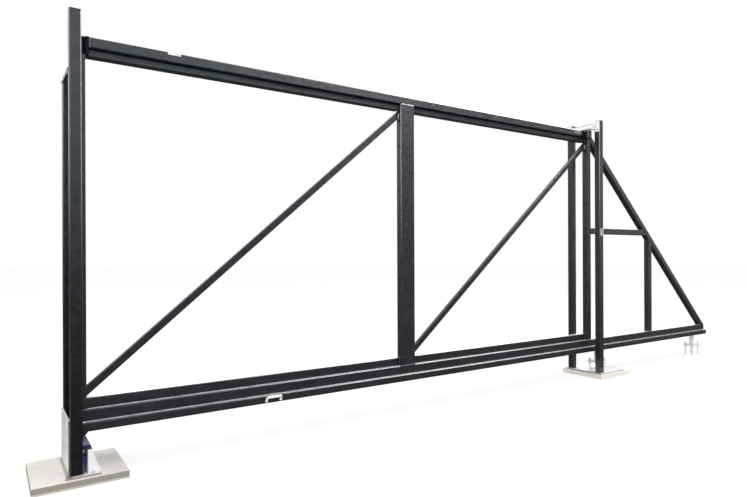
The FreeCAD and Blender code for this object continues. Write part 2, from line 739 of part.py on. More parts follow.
def bow_handle():
    """Small bow bent from square bar, which leans up from the rail's lower face."""
    inner = "(handle_reach - handle_bar)"
    bow = [
        ("0", "0"),
        ("0", "0 - handle_reach"),
        ("handle_span", "0 - handle_reach"),
        ("handle_span", "0"),
        ("handle_span - handle_bar", "0"),
        ("handle_span - handle_bar", f"0 - {inner}"),
        ("handle_bar", f"0 - {inner}"),
        ("handle_bar", "0"),
    ]
    outside = "handle_bend"
    inside = "(handle_bend - handle_bar)"
    bends = [None, outside, outside, None, None, inside, inside, None]
    left = f"{LEAF_FRONT} + handle_at - handle_span / 2"
    low = f"{RAIL_BOTTOM} + handle_level"
    bar = profile("bow_handle_bar", [(bow, bends)], "XY_Plane", "handle_bar",
                  (left, "0 - rail_low_wide / 2", low))
    tilt(bar, "handle_lean * 1 deg", (-1, 0, 0))
    # The leaning legs are cut off flat along the rail's face
    room = box("bow_handle_room", (left, "0 - rail_low_wide / 2 - 2 * handle_reach", low), "handle_span",
               "2 * handle_reach", "2 * handle_reach")
    parts.append(trim("bow_handle", bar, room))


footing("catch", CATCH_LEFT)
footing("guide", GUIDE_LEFT)
portal("catch", CATCH_LEFT)
portal("guide", GUIDE_LEFT)
catch_plates()
landing_bracket()
guide_yoke()
carriage("front", "carriage_front_at", BASE_TOP)
carriage("rear", f"({RAIL_END} - carriage_rear_inset)", "0")
running_rail()
leaf_frame()
tail()
end_roller()
bow_handle()

doc.recompute()

# Nothing is written until every object and every piece is sound
faults = [obj.Name for obj in doc.Objects if {"Invalid", "Error"} & set(obj.State)]
faults += [obj.Label for obj in parts if obj.Shape.isNull() or not obj.Shape.isValid()]
if faults:
    raise RuntimeError(f"failed objects: {faults}")

os.makedirs("parts", exist_ok=True)
for obj in parts:
    obj.Shape.exportStep(f"parts/{obj.Label}.step")
    size = obj.Shape.BoundBox
    print(f"{obj.Label}: {len(obj.Shape.Solids)} solid, x {size.XMin:.1f}..{size.XMax:.1f}, "
          f"y {size.YMin:.1f}..{size.YMax:.1f}, z {size.ZMin:.1f}..{size.ZMax:.1f}")
print(len(parts), "pieces")
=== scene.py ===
"""Self-supporting sliding driveway gate: finished surfaces, fittings, light and camera.

Lengths are in metres in the gate's own frame: +X runs toward the counterweight tail, +Z is up,
the leaf's middle plane is Y = 0 and its show side faces -Y.
"""

import json
import logging
import math
from dataclasses import dataclass
from enum import Enum
from typing import Sequence, Union

import bmesh
import bpy
import numpy as np
from mathutils import Matrix, Vector

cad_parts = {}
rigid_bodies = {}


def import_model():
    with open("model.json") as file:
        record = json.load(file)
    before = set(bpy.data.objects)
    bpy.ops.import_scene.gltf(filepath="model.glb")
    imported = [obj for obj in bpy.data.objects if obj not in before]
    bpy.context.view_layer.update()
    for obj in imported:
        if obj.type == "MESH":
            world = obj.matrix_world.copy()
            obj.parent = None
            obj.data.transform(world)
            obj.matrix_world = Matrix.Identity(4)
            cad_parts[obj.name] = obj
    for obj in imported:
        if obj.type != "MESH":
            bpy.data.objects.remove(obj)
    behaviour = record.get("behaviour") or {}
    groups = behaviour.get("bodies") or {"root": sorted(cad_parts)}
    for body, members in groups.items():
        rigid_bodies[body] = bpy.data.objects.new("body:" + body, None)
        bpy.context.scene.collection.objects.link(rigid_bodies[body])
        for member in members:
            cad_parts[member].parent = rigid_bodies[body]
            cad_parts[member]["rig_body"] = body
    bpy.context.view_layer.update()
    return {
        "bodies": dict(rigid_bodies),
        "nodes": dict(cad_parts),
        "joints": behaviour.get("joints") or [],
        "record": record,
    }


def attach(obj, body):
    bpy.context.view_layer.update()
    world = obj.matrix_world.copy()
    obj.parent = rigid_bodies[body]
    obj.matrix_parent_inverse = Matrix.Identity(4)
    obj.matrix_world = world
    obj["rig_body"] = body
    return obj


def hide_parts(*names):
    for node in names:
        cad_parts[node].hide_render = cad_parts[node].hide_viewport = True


LOG = logging.getLogger("gate")
TAU = 2.0 * math.pi
# Points closer than this are one point, and faces within this angle lie in one plane
DOUBLES, FLAT_WITHIN = 2e-6, math.radians(0.6)
# Angle in degrees from which an edge of a CAD node's skin stays hard
SKIN_SHARP = 28.0
# Length of one ripple of a weld
RIPPLE = 0.0042
# Widths of the broken edges of post caps, boards, base plates and thin plates
CAP_EDGE, BOARD_EDGE, BASE_EDGE, THIN_EDGE = 0.0011, 0.0016, 0.0008, 0.0006
Socket = bpy.types.NodeSocket
Feed = Union[Socket, float, Sequence[float]]
Point = tuple[float, float, float]
Span = tuple[float, float]


class Slot(Enum):
    """Finishes that the record names."""

    PAINT = "anthracite_paint"
    ZINC = "galvanised_steel"
    BOARD = "timber_board"
    CAP = "cap_plastic"
    BUFFER = "buffer_rubber"
    GUIDE_NYLON = "roller_nylon"
    NAVY = "roller_navy"
    WHEEL = "wheel_nylon"


class Shown(Enum):
    """What a lamp lights."""

    FILL = "dull surfaces alone"
    MIRRORED = "shiny surfaces alone"


class Effect(Enum):
    """Shader groups that more than one finish uses."""

    FACING = "what looks up and what looks down"
    MOTTLE = "cloudy change"
    PEEL = "fine skin"
    DUST = "settled dust"
    STREAKS = "rain streaks"
    PATCH = "ragged mark"


class Axis(Enum):
    """Direction that a turned part points in, as the order in which x, y, z are read."""

    X = (2, 0, 1)
    Y = (1, 2, 0)
    Z = (0, 1, 2)


# ---------------------------------------------------------------------------- shader graphs


class Graph:
    """Adds nodes to one node tree and wires them."""

    def __init__(self, tree: bpy.types.NodeTree) -> None:
        """Keep the tree that the nodes go into."""
        self.tree = tree

    def feed(self, socket: Socket, value: Feed) -> None:
        """Link a socket to another one, or write its constant.

        Args:
            socket: the input to fill.
            value: an output socket, a number or a row of numbers; a colour is given without its alpha.
        """
        if isinstance(value, bpy.types.NodeSocket):
            self.tree.links.new(value, socket)
        else:
            socket.default_value = (*value, 1.0) if socket.type == "RGBA" else value

    def add(self, kind: str, inputs: dict[str | int, Feed] | None = None, **settings: object) -> bpy.types.Node:
        """Add one node.

        Args:
            kind: the node's type name after ShaderNode.
            inputs: value or socket for each input, by name or number.
            settings: the node's own properties.

        Returns:
            The new node.
        """
        node = self.tree.nodes.new("ShaderNode" + kind)
        for key, value in settings.items():
            setattr(node, key, value)
        for key, value in (inputs or {}).items():
            self.feed(node.inputs[key], value)
        return node

    def math(self, operation: str, a: Feed, b: Feed, clamp: bool = False) -> Socket:
        """Combine two numbers with a Math node, kept in 0 to 1 if clamp is set."""
        return self.add("Math", {0: a, 1: b}, operation=operation, use_clamp=clamp).outputs[0]

    def times(self, a: Feed, b: Feed, clamp: bool = False) -> Socket:
        """Multiply two numbers."""
        return self.math("MULTIPLY", a, b, clamp)

    def vector(self, operation: str, a: Feed, b: Feed = (0.0, 0.0, 0.0)) -> Socket:
        """Combine two positions with a Vector Math node."""
        return self.add("VectorMath", {0: a, 1: b}, operation=operation).outputs[0]

    def part(self, vector: Feed, axis: str) -> Socket:
        """Read one axis of a position, a normal or a colour."""
        return self.add("SeparateXYZ", {0: vector}).outputs[axis]

    def span(self, value: Feed, low: float, high: float, to_low: Feed = 0.0, to_high: Feed = 1.0) -> Socket:
        """Map a number from one range to another with soft ends.

        Args:
            value: the number.
            low: where the first range starts.
            high: where the first range ends.
            to_low: result at the start.
            to_high: result at the end.

        Returns:
            The mapped number's socket.
        """
        inputs = dict(enumerate((value, low, high, to_low, to_high)))
        return self.add("MapRange", inputs, interpolation_type="SMOOTHSTEP").outputs[0]

    def mix(self, factor: Feed, a: Feed, b: Feed) -> Socket:
        """Mix two colours; the factor is the second one's share."""
        return self.add("Mix", {0: factor, 6: a, 7: b}, data_type="RGBA").outputs[2]

    def noise(self, vector: Feed, scale: Feed, detail: float = 3.0, roughness: float = 0.5) -> Socket:
        """Cloudy noise between 0 and 1.

        Args:
            vector: where it is read.
            scale: patches per metre.
            detail: number of finer layers.
            roughness: strength of the finer layers.

        Returns:
            The noise value's socket.
        """
        return self.add("TexNoise", {"Vector": vector, "Scale": scale, "Detail": detail,
                                     "Roughness": roughness}).outputs[0]

    def relief(self, height: Feed, strength: float, distance: float) -> Socket:
        """Turn a height into a bumped normal."""
        return self.add("Bump", {"Strength": strength, "Distance": distance, "Height": height}).outputs[0]

    def stretched(self, vector: Feed, scale: Point) -> Socket:
        """Squeeze or stretch a position along x, y and z."""
        return self.add("Mapping", {"Vector": vector, "Scale": scale}).outputs[0]

    def place(self) -> Socket:
        """Position in the gate's own frame."""
        return self.add("TexCoord").outputs["Object"]


class Group:
    """One shader node group with named inputs and outputs."""

    def __init__(self, name: str, inputs: dict[str, float | None], outputs: Sequence[str]) -> None:
        """Make the group's sockets.

        Args:
            name: the group's name.
            inputs: each input's name and value; None makes it a vector.
            outputs: names of the number outputs.
        """
        self.inputs = inputs
        self.tree = bpy.data.node_groups.new(name, "ShaderNodeTree")
        for key, value in inputs.items():
            kind = "NodeSocketVector" if value is None else "NodeSocketFloat"
            made = self.tree.interface.new_socket(name=key, in_out="INPUT", socket_type=kind)
            if value is not None:
                made.default_value = value
        for key in outputs:
            self.tree.interface.new_socket(name=key, in_out="OUTPUT", socket_type="NodeSocketFloat")
        self.graph = Graph(self.tree)
        self.source = self.tree.nodes.new("NodeGroupInput")
        self.sink = self.tree.nodes.new("NodeGroupOutput")

    def read(self, name: str) -> Socket:
        """Give the socket that carries one input inside the group."""
        return self.source.outputs[name]

    def give(self, name: str, value: Feed) -> None:
        """Wire one output of the group."""
        self.graph.feed(self.sink.inputs[name], value)

    def use(self, graph: Graph, output: str | int = 0, **inputs: Feed) -> Socket:
        """Place the group in a material.

        Args:
            graph: the material's graph.
            output: name or number of the output that is wanted.
            inputs: value or socket for each named input.

        Returns:
            The output's socket.
        """
        return graph.add("Group", inputs, node_tree=self.tree).outputs[output]


class Effects:
    """Builds each shared shader group once."""

    def __init__(self) -> None:
        """Build every group."""
        self.facing = self._facing()
        self.groups = {Effect.FACING: self.facing, Effect.MOTTLE: self._mottle(), Effect.PEEL: self._peel(),
                       Effect.DUST: self._dust(), Effect.STREAKS: self._streaks(), Effect.PATCH: self._patch()}

    def _facing(self) -> Group:
        """Masks of what looks up and what looks down: a soft step of the normal's z.

        Returns:
            The group.
        """
        group = Group("facing", {}, ("Up", "Down"))
        graph = group.graph
        rise = graph.part(graph.add("NewGeometry").outputs["Normal"], "Z")
        group.give("Up", graph.span(rise, 0.84, 0.97))
        group.give("Down", graph.span(rise, -0.45, -0.92))
        return group

    def _mottle(self) -> Group:
        """Cloudy change between a low and a high value.

        Returns:
            The group.
        """
        group = Group("mottle", {"Vector": None, "Scale": 10.0, "Low": 0.0, "High": 1.0}, ("Value",))
        graph = group.graph
        cloud = graph.noise(group.read("Vector"), group.read("Scale"), 4.0, 0.55)
        group.give("Value", graph.span(cloud, 0.3, 0.7, group.read("Low"), group.read("High")))
        return group

    def _peel(self) -> Group:
        """Height of sprayed paint: rounded cells, with finer grit on them.

        Returns:
            The group.
        """
        group = Group("orange_peel", {"Vector": None, "Scale": 700.0, "Grit": 0.25}, ("Height",))
        graph, vector, scale = group.graph, group.read("Vector"), group.read("Scale")
        cells = graph.add("TexVoronoi", {"Vector": vector, "Scale": scale}, feature="SMOOTH_F1")
        grit = graph.noise(vector, graph.times(scale, 2.6), 2.0)
        rounded = graph.math("SUBTRACT", 1.0, cells.outputs["Distance"])
        group.give("Height", graph.math("ADD", rounded, graph.times(grit, group.read("Grit"))))
        return group

    def _dust(self) -> Group:
        """Dust that settles on what looks up, broken into patches.

        Returns:
            The group.
        """
        group = Group("settled_dust", {"Vector": None, "Scale": 22.0, "Amount": 0.3}, ("Mask",))
        graph = group.graph
        cloud = graph.noise(group.read("Vector"), group.read("Scale"), 6.0, 0.65)
        patchy = graph.times(self.facing.use(graph, "Up"), graph.span(cloud, 0.3, 0.6, 0.6, 1.0))
        group.give("Mask", graph.times(patchy, group.read("Amount"), True))
        return group

    def _streaks(self) -> Group:
        """Runs left by rain: noise drawn out along z.

        Returns:
            The group.
        """
        group = Group("rain_streaks", {"Vector": None, "Width": 90.0, "Amount": 0.2}, ("Mask",))
        graph, vector = group.graph, group.read("Vector")
        thin = graph.noise(graph.stretched(vector, (1.0, 1.0, 0.035)), group.read("Width"), 3.0, 0.6)
        broken = graph.noise(vector, 5.0, 2.0)
        mask = graph.times(graph.span(thin, 0.5, 0.78), graph.span(broken, 0.4, 0.65))
        group.give("Mask", graph.times(mask, group.read("Amount"), True))
        return group

    def _patch(self) -> Group:
        """Soft-edged box: each axis counts how far inside its half length a point is.

        Returns:
            The group.
        """
        group = Group("soft_patch", {"Vector": None, "Centre": None, "Half": None, "Soft": 0.004}, ("Mask",))
        graph, vector = group.graph, group.read("Vector")
        away = graph.vector("ABSOLUTE", graph.vector("SUBTRACT", vector, group.read("Centre")))
        inside = graph.vector("SUBTRACT", group.read("Half"), away)
        least = graph.math("MINIMUM", graph.part(inside, "X"), graph.part(inside, "Y"))
        least = graph.math("MINIMUM", least, graph.part(inside, "Z"))
        ragged = graph.math("SUBTRACT", graph.noise(vector, 160.0, 4.0, 0.6), 0.5)
        rough = graph.math("ADD", least, graph.times(ragged, 0.006))
        group.give("Mask", graph.math("DIVIDE", rough, group.read("Soft"), True))
        return group


# ---------------------------------------------------------------------------- finishes


class Coat(Graph):
    """Graph of one material, which reads the shared effects at each point's own place."""

    def __init__(self, tree: bpy.types.NodeTree, effects: Effects) -> None:
        """Keep the tree and the effects.

        Args:
            tree: the material's node tree.
            effects: the shared shader groups.
        """
        super().__init__(tree)
        self.effects = effects
        self.here = self.place()

    def use(self, effect: Effect, output: str | int = 0, **inputs: Feed) -> Socket:
        """Place a shared effect, read at the point's own place if no other vector is given.

        Args:
            effect: which one.
            output: name or number of the output that is wanted.
            inputs: value or socket for each named input.

        Returns:
            The output's socket.
        """
        group = self.effects.groups[effect]
        if "Vector" in group.inputs:
            inputs.setdefault("Vector", self.here)
        return group.use(self, output, **inputs)


@dataclass(frozen=True)
class Mark:
    """One ragged mark on a finish: its box, softness, strength and colour."""

    centre: Point
    half: Point
    soft: float
    share: float
    colour: Point

    def over(self, coat: Coat, under: Feed, fade: Feed = 1.0) -> Socket:
        """Lay the mark over a colour.

        Args:
            coat: the material's graph and effects.
            under: the colour below.
            fade: what the mark's strength is multiplied by.

        Returns:
            The marked colour's socket.
        """
        mask = coat.use(Effect.PATCH, Centre=self.centre, Half=self.half, Soft=self.soft)
        return coat.mix(coat.times(coat.times(mask, fade), self.share), under, self.colour)


@dataclass(frozen=True)
class Finish:
    """One finish: its colour, gloss and the marks of use on it."""

    name: str
    colour: Point
    gloss_low: float = 0.35
    gloss_high: float = 0.5
    mirror: float = 0.5

    def build(self, effects: Effects) -> bpy.types.Material:
        """Make the material.

        Args:
            effects: the shared shader groups.

        Returns:
            The material.
        """
        material = bpy.data.materials.new(self.name)
        material.use_nodes = True
        coat = Coat(material.node_tree, effects)
        shader = material.node_tree.nodes["Principled BSDF"]
        coat.feed(shader.inputs["Specular IOR Level"], self.mirror)
        for key, value in self.looks(coat).items():
            coat.feed(shader.inputs[key], value)
        return material

    def tone(self, gain: float = 1.0) -> Point:
        """Give the colour, brighter or darker."""
        return tuple(min(1.0, part * gain) for part in self.colour)

    def gloss(self, coat: Coat, value: Socket) -> Socket:
        """Roughness that moves between the finish's two ends as a value goes from 0 to 1."""
        return coat.span(value, 0.0, 1.0, self.gloss_low, self.gloss_high)

    def looks(self, coat: Coat) -> dict[str, Feed]:
        """Plain moulded finish with cloudy gloss and a fine skin.

        Args:
            coat: the material's graph and effects.

        Returns:
            What goes into each input of the Principled shader.
        """
        cloud = coat.use(Effect.MOTTLE, Scale=45.0)
        worn = coat.use(Effect.DUST, Scale=60.0, Amount=0.22)
        tone = coat.mix(cloud, self.tone(0.82), self.tone(1.15))
        skin = coat.use(Effect.PEEL, Scale=1500.0, Grit=0.5)
        return {"Base Color": coat.mix(worn, tone, (0.42, 0.40, 0.37)), "Roughness": self.gloss(coat, cloud),
                "Normal": coat.relief(skin, 0.25, 0.0003)}


@dataclass(frozen=True)
class PowderCoat(Finish):
    """Anthracite powder coat: orange peel, rain streaks, worn places, a pale dusting on ledges mixed with a painted
    sky reflection, painted highlights on post corners and painted shade on undersides and low on the catch posts.
    """

    # Pale dusting on ledges mixed with a painted sky reflection: its amount and colour
    dust: float = 0.95
    dust_and_sheen_tone: Point = (0.86, 0.87, 0.88)
    blotch_tone: Point = (0.034, 0.036, 0.040)
    streak_tone: Point = (0.10, 0.10, 0.105)
    # Painted shade: a near-black box over the catch posts, laid on most at the foot and gone by 1.35 m
    deep: Mark = Mark((-3.155, 0.0, 0.80), (0.0222, 0.140, 1.00), 0.001, 1.0, (0.000784, 0.000928, 0.001168))
    # Painted highlights: pale lines down the front corners of the middle post, a guide post and a catch post
    corners: tuple[Mark, ...] = tuple(
        Mark(centre, (0.0036, 0.0036, 0.7), 0.002, 1.0, (0.36, 0.38, 0.40))
        for centre in ((-1.6158, -0.0393, 0.928), (-0.0193, -0.1273, 1.03), (-3.1357, -0.1273, 1.03)))
    rub: Mark = Mark((-0.1285, -0.040, 1.6535), (0.040, 0.006, 0.010), 0.006, 0.75, (0.30, 0.30, 0.30))
    foot: Mark = Mark((0.0, -0.108, 0.064), (0.030, 0.030, 0.110), 0.008, 1.0, (0.135, 0.100, 0.115))

    def looks(self, coat: Coat) -> dict[str, Feed]:
        """Paint, with its marks laid one over the other.

        Args:
            coat: the material's graph and effects.

        Returns:
            What goes into each input of the Principled shader.
        """
        along, height = coat.part(coat.here, "X"), coat.part(coat.here, "Z")
        broad = coat.use(Effect.MOTTLE, Scale=3.2)
        fine = coat.use(Effect.MOTTLE, Scale=65.0)
        blotch = coat.use(Effect.MOTTLE, Vector=coat.stretched(coat.here, (0.35, 1.0, 1.0)), Scale=34.0)
        runs = coat.use(Effect.STREAKS, Amount=0.10)
        tone = coat.mix(broad, self.tone(0.86), self.tone(1.12))
        tone = coat.mix(coat.times(fine, 0.25), tone, self.tone(1.3))
        tone = coat.mix(coat.times(blotch, 0.30), tone, self.blotch_tone)
        tone = coat.mix(runs, tone, self.streak_tone)
        # Painted shade low on the catch posts, fading out with height
        tone = self.deep.over(coat, tone, coat.span(height, 0.3, 1.35, 0.92, 0.0))
        # Fine lines drawn along the top rail, right of the nose
        drawn = coat.noise(coat.stretched(coat.here, (0.25, 1.0, 9.0)), 22.0, 4.0, 0.6)
        drawn = coat.times(coat.span(drawn, 0.48, 0.66), coat.span(height, 1.585, 1.60))
        drawn = coat.times(drawn, coat.span(along, -3.113, -3.111))
        tone = coat.mix(coat.times(drawn, 0.6), tone, self.tone(3.2))
        # Painted highlights on the post corners, none below 0.75 m and strongest high up
        for corner in self.corners:
            tone = corner.over(coat, tone, coat.span(height, 0.75, 1.5, 0.0, 0.75))
        down, up = coat.use(Effect.FACING, "Down"), coat.use(Effect.FACING, "Up")
        # Painted shade: faces that look down are darkened toward a third of the paint's tone
        tone = coat.mix(coat.times(down, 0.6), tone, self.tone(0.35))
        # Pale dusting on ledges with a painted sky reflection: it shows at a low angle and fades when it is seen from
        # above
        slant = coat.add("LayerWeight", {"Blend": 0.5}).outputs["Facing"]
        ledge = coat.times(coat.use(Effect.DUST, Amount=self.dust),
                           coat.span(slant, 0.48, 0.74, 0.08, 1.0))
        tone = self.rub.over(coat, coat.mix(ledge, tone, self.dust_and_sheen_tone))
        spots = coat.times(coat.span(blotch, 0.2, 0.8, 0.2, 0.9), coat.span(height, 0.06, 0.15, 1.0, 0.0))
        tone = self.foot.over(coat, tone, spots)
        gloss = coat.math("ADD", self.gloss(coat, fine), coat.times(down, 0.3), True)
        gloss = coat.math("SUBTRACT", gloss, coat.times(up, 0.12), True)
        peel = coat.use(Effect.PEEL, Scale=620.0)
        return {"Base Color": tone, "Roughness": gloss, "Normal": coat.relief(peel, 0.22, 0.0004)}


@dataclass(frozen=True)
class Galvanised(Finish):
    """Hot-dip zinc: crystals, dull patches, rain marks and each plate's own marks: stained patches and painted shade
    lines.
    """

    metal: float = 0.42
    run_tone: Point = (0.20, 0.17, 0.10)
    dull_tone: Point = (0.74, 0.75, 0.75)
    stains_and_shade: tuple[Mark, ...] = ()

    def looks(self, coat: Coat) -> dict[str, Feed]:
        """Zinc, with its stains laid over it.

        Args:
            coat: the material's graph and effects.

        Returns:
            What goes into each input of the Principled shader.
        """
        crystal = coat.add("TexVoronoi", {"Vector": coat.here, "Scale": 130.0, "Randomness": 1.0}).outputs["Color"]
        dull = coat.use(Effect.MOTTLE, Scale=26.0)
        runs = coat.use(Effect.STREAKS, Width=170.0, Amount=0.45)
        tone = coat.mix(coat.times(coat.part(crystal, "X"), 0.55), self.tone(), self.tone(0.86))
        tone = coat.mix(coat.times(dull, 0.35), tone, self.dull_tone)
        tone = coat.mix(runs, tone, self.run_tone)
        # Each plate's marks: stained patches, and painted shade lines along gaps and edges
        for zinc_mark in self.stains_and_shade:
            tone = zinc_mark.over(coat, tone)
        rough = coat.math("ADD", self.gloss(coat, dull), coat.times(coat.part(crystal, "Y"), 0.08))
        skin = coat.use(Effect.PEEL, Scale=380.0, Grit=0.6)
        return {"Base Color": tone, "Metallic": coat.span(dull, 0.0, 1.0, self.metal, self.metal - 0.25),
                "Roughness": rough, "Normal": coat.relief(skin, 0.2, 0.0004)}


@dataclass(frozen=True)
class SawnBoard(Finish):
    """Pale board: planed cream face, layered brown edges that turn lighter towards the bottom."""

    edge: Point = (0.31, 0.27, 0.22)
    bottom: Point = (0.72, 0.67, 0.59)
    speck_tone: Point = (0.45, 0.40, 0.33)

    def looks(self, coat: Coat) -> dict[str, Feed]:
        """Wood: fibres and specks on the face, plies and chips on the edges.

        Args:
            coat: the material's graph and effects.

        Returns:
            What goes into each input of the Principled shader.
        """
        wander = coat.add("TexNoise", {"Vector": coat.here, "Scale": 7.0, "Detail": 2.0}).outputs["Color"]
        fibre = coat.noise(coat.vector("ADD", coat.stretched(coat.here, (6.0, 46.0, 46.0)), wander), 3.0, 5.0, 0.6)
        face = coat.mix(coat.span(fibre, 0.35, 0.72), self.tone(), self.tone(0.90))
        speck = coat.noise(coat.here, 260.0, 3.0, 0.7)
        face = coat.mix(coat.span(speck, 0.62, 0.80, 0.0, 0.35), face, self.speck_tone)
        plies = coat.add("TexWave", {"Vector": coat.stretched(coat.here, (0.0, 0.0, 1.0)), "Scale": 42.0,
                                     "Distortion": 1.4, "Detail": 3.0, "Detail Scale": 2.0},
                         wave_type="BANDS", bands_direction="Z").outputs["Fac"]
        side = coat.mix(coat.times(plies, 0.55), self.edge, tuple(part * 0.62 for part in self.edge))
        chips = coat.noise(coat.stretched(coat.here, (60.0, 60.0, 260.0)), 3.0, 4.0, 0.7)
        side = coat.mix(coat.span(chips, 0.45, 0.75, 0.0, 0.6), side, self.bottom)
        low = coat.span(coat.part(coat.here, "Z"), 0.011, 0.004)
        side = coat.mix(coat.times(low, 0.7), side, self.bottom)
        relief = coat.math("ADD", fibre, coat.times(chips, 0.8))
        return {"Base Color": coat.mix(coat.use(Effect.FACING, "Up"), side, face),
                "Roughness": self.gloss(coat, fibre), "Normal": coat.relief(relief, 0.35, 0.0008)}


@dataclass(frozen=True)
class Weld(Finish):
    """Weld seam: heat-tinted metal with paint thin on its crests."""

    bare: Point = (0.34, 0.34, 0.35)
    share: float = 0.2

    def looks(self, coat: Coat) -> dict[str, Feed]:
        """Seam: bare metal shows where the paint is thin.

        Args:
            coat: the material's graph and effects.

        Returns:
            What goes into each input of the Principled shader.
        """
        spots = coat.use(Effect.MOTTLE, Scale=130.0, Low=0.4, High=1.0)
        thin = coat.times(spots, self.share, True)
        skin = coat.use(Effect.PEEL, Scale=900.0, Grit=0.8)
        return {"Base Color": coat.mix(thin, self.tone(), self.bare), "Metallic": coat.times(thin, 0.4),
                "Roughness": self.gloss(coat, thin), "Normal": coat.relief(skin, 0.3, 0.0003)}


class Paints:
    """Every finish of the gate, made once."""

    def __init__(self) -> None:
        """Make the shared groups and the materials."""
        effects = Effects()
        brown, mauve, dark, navy = (0.26, 0.19, 0.13), (0.32, 0.25, 0.25), (0.10, 0.10, 0.10), (0.012, 0.009, 0.090)
        cream = (0.745, 0.695, 0.65)
        self.paint = PowderCoat("anthracite_powder_coat", (0.0098, 0.0116, 0.0146), 0.28, 0.38).build(effects)
        self.zinc = Galvanised("hot_dip_zinc", (0.67, 0.68, 0.67), 0.36, 0.54, stains_and_shade=(
            # Painted shade: a dark olive strip in the gap at the lower catch plate's near edge, and brown shadow
            # lines along the lower catch plate's foot and the catch base plate's front edge; mauve bands darken the
            # guide base plate's front and left edges
            Mark((-3.180, -0.125, 0.135), (0.012, 0.015, 0.105), 0.003, 0.95, (0.12, 0.13, 0.07)),
            Mark((-3.180, 0.0, 0.038), (0.012, 0.130, 0.007), 0.003, 0.6, brown),
            Mark((-3.134, -0.140, 0.031), (0.064, 0.008, 0.007), 0.003, 0.7, brown),
            Mark((0.100, -0.140, 0.031), (0.135, 0.008, 0.007), 0.003, 0.8, mauve),
            Mark((-0.032, 0.0, 0.031), (0.008, 0.142, 0.007), 0.003, 0.8, mauve))).build(effects)
        self.bright_zinc = Galvanised("bright_zinc", (0.90, 0.905, 0.905), 0.36, 0.50, metal=0.12, stains_and_shade=(
            Mark((-0.0225, 0.010, 1.7175), (0.006, 0.085, 0.004), 0.002, 0.8, dark),
            Mark((-3.115, 0.0, 0.131), (0.022, 0.130, 0.011), 0.003, 1.0, navy),
            Mark((-3.128, -0.050, 0.075), (0.012, 0.200, 0.045), 0.004, 1.0, navy))).build(effects)
        self.board = SawnBoard("cream_board", cream, 0.60, 0.80).build(effects)
        self.far_board = SawnBoard("cream_board_pale_edge", cream, 0.60, 0.80, edge=(0.93, 0.86, 0.76),
                                   bottom=(0.84, 0.80, 0.72)).build(effects)
        self.cap = Finish("black_cap", (0.020, 0.020, 0.022), 0.42, 0.60).build(effects)
        self.rubber = Finish("buffer_black", (0.005, 0.005, 0.006), 0.80, 0.95, 0.12).build(effects)
        self.guide = Finish("guide_roller_black", (0.030, 0.030, 0.032), 0.38, 0.55).build(effects)
        self.navy = Finish("roller_navy_blue", (0.025, 0.028, 0.125), 0.30, 0.45).build(effects)
        self.nylon = Finish("wheel_nylon_grey", (0.42, 0.43, 0.42), 0.35, 0.50).build(effects)
        self.label = Finish("blank_label", (0.86, 0.86, 0.85), 0.25, 0.40).build(effects)
        self.clip = Finish("pale_clip", (0.34, 0.35, 0.35), 0.35, 0.50).build(effects)
        self.seam = Weld("painted_weld", (0.030, 0.032, 0.036), 0.40, 0.60).build(effects)
        self.bright_seam = Weld("bare_weld", (0.20, 0.20, 0.21), 0.35, 0.50, bare=(0.78, 0.78, 0.79),
                                share=0.95).build(effects)
        self.by_slot = {Slot.PAINT: self.paint, Slot.ZINC: self.zinc, Slot.BOARD: self.board, Slot.CAP: self.cap,
                        Slot.BUFFER: self.rubber, Slot.GUIDE_NYLON: self.guide, Slot.NAVY: self.navy,
                        Slot.WHEEL: self.nylon}


# ---------------------------------------------------------------------------- surfaces


@dataclass
class Shell:
    """Points and faces of one surface."""

    points: np.ndarray
    faces: np.ndarray

    @staticmethod
    def of_grid(grid: np.ndarray, loop_rows: bool = False, loop_columns: bool = True) -> "Shell":
        """Cover a grid of points with faces: each face joins a point to the next row and column.

        Args:
            grid: points as rows x columns x 3.
            loop_rows: the last row joins the first.
            loop_columns: the last column joins the first.

        Returns:
            The surface.
        """
        rows, columns = grid.shape[:2]
        i, j = np.meshgrid(np.arange(rows if loop_rows else rows - 1),
                           np.arange(columns if loop_columns else columns - 1), indexing="ij")
        ahead, aside = (i + 1) % rows, (j + 1) % columns
        faces = np.stack((i * columns + j, i * columns + aside, ahead * columns + aside, ahead * columns + j), -1)
        return Shell(grid.reshape(-1, 3), faces.reshape(-1, 4))

    def at(self, centre: Sequence[float], axis: Axis = Axis.Z, sense: float = 1.0) -> "Shell":
        """Turn the surface so that its z points along an axis, and move it.

        Args:
            centre: where its origin goes.
            axis: direction of its z.
            sense: -1 turns it half round, so that it points back along the axis.

        Returns:
            The placed surface.
        """
        points = self.points * np.array((1.0, sense, sense))
        return Shell(points[:, list(axis.value)] + np.asarray(centre, float), self.faces)

    @staticmethod
    def joined(shells: Sequence["Shell"]) -> "Shell":
        """Put several surfaces into one: the faces count on from the points before them.

        Args:
            shells: the surfaces.

        Returns:
            The one surface.
        """
        starts = np.cumsum([0] + [len(shell.points) for shell in shells[:-1]])
        faces = [shell.faces + start for shell, start in zip(shells, starts)]
        return Shell(np.concatenate([shell.points for shell in shells]), np.concatenate(faces))


def around(radius: np.ndarray | float, height: np.ndarray | float, angle: np.ndarray) -> np.ndarray:
    """Points at (radius cos angle, radius sin angle, height)."""
    return np.stack(np.broadcast_arrays(radius * np.cos(angle), radius * np.sin(angle), height), -1)


def lifted(flat: np.ndarray, height: float) -> np.ndarray:
    """Give flat points one height."""
    return np.column_stack((flat, np.full(len(flat), height)))


def way_along(path: np.ndarray) -> np.ndarray:
    """Distance from a path's start to each of its points: the sum of the steps before it."""
    return np.concatenate(((0.0,), np.cumsum(np.linalg.norm(np.diff(path, axis=0), axis=1))))


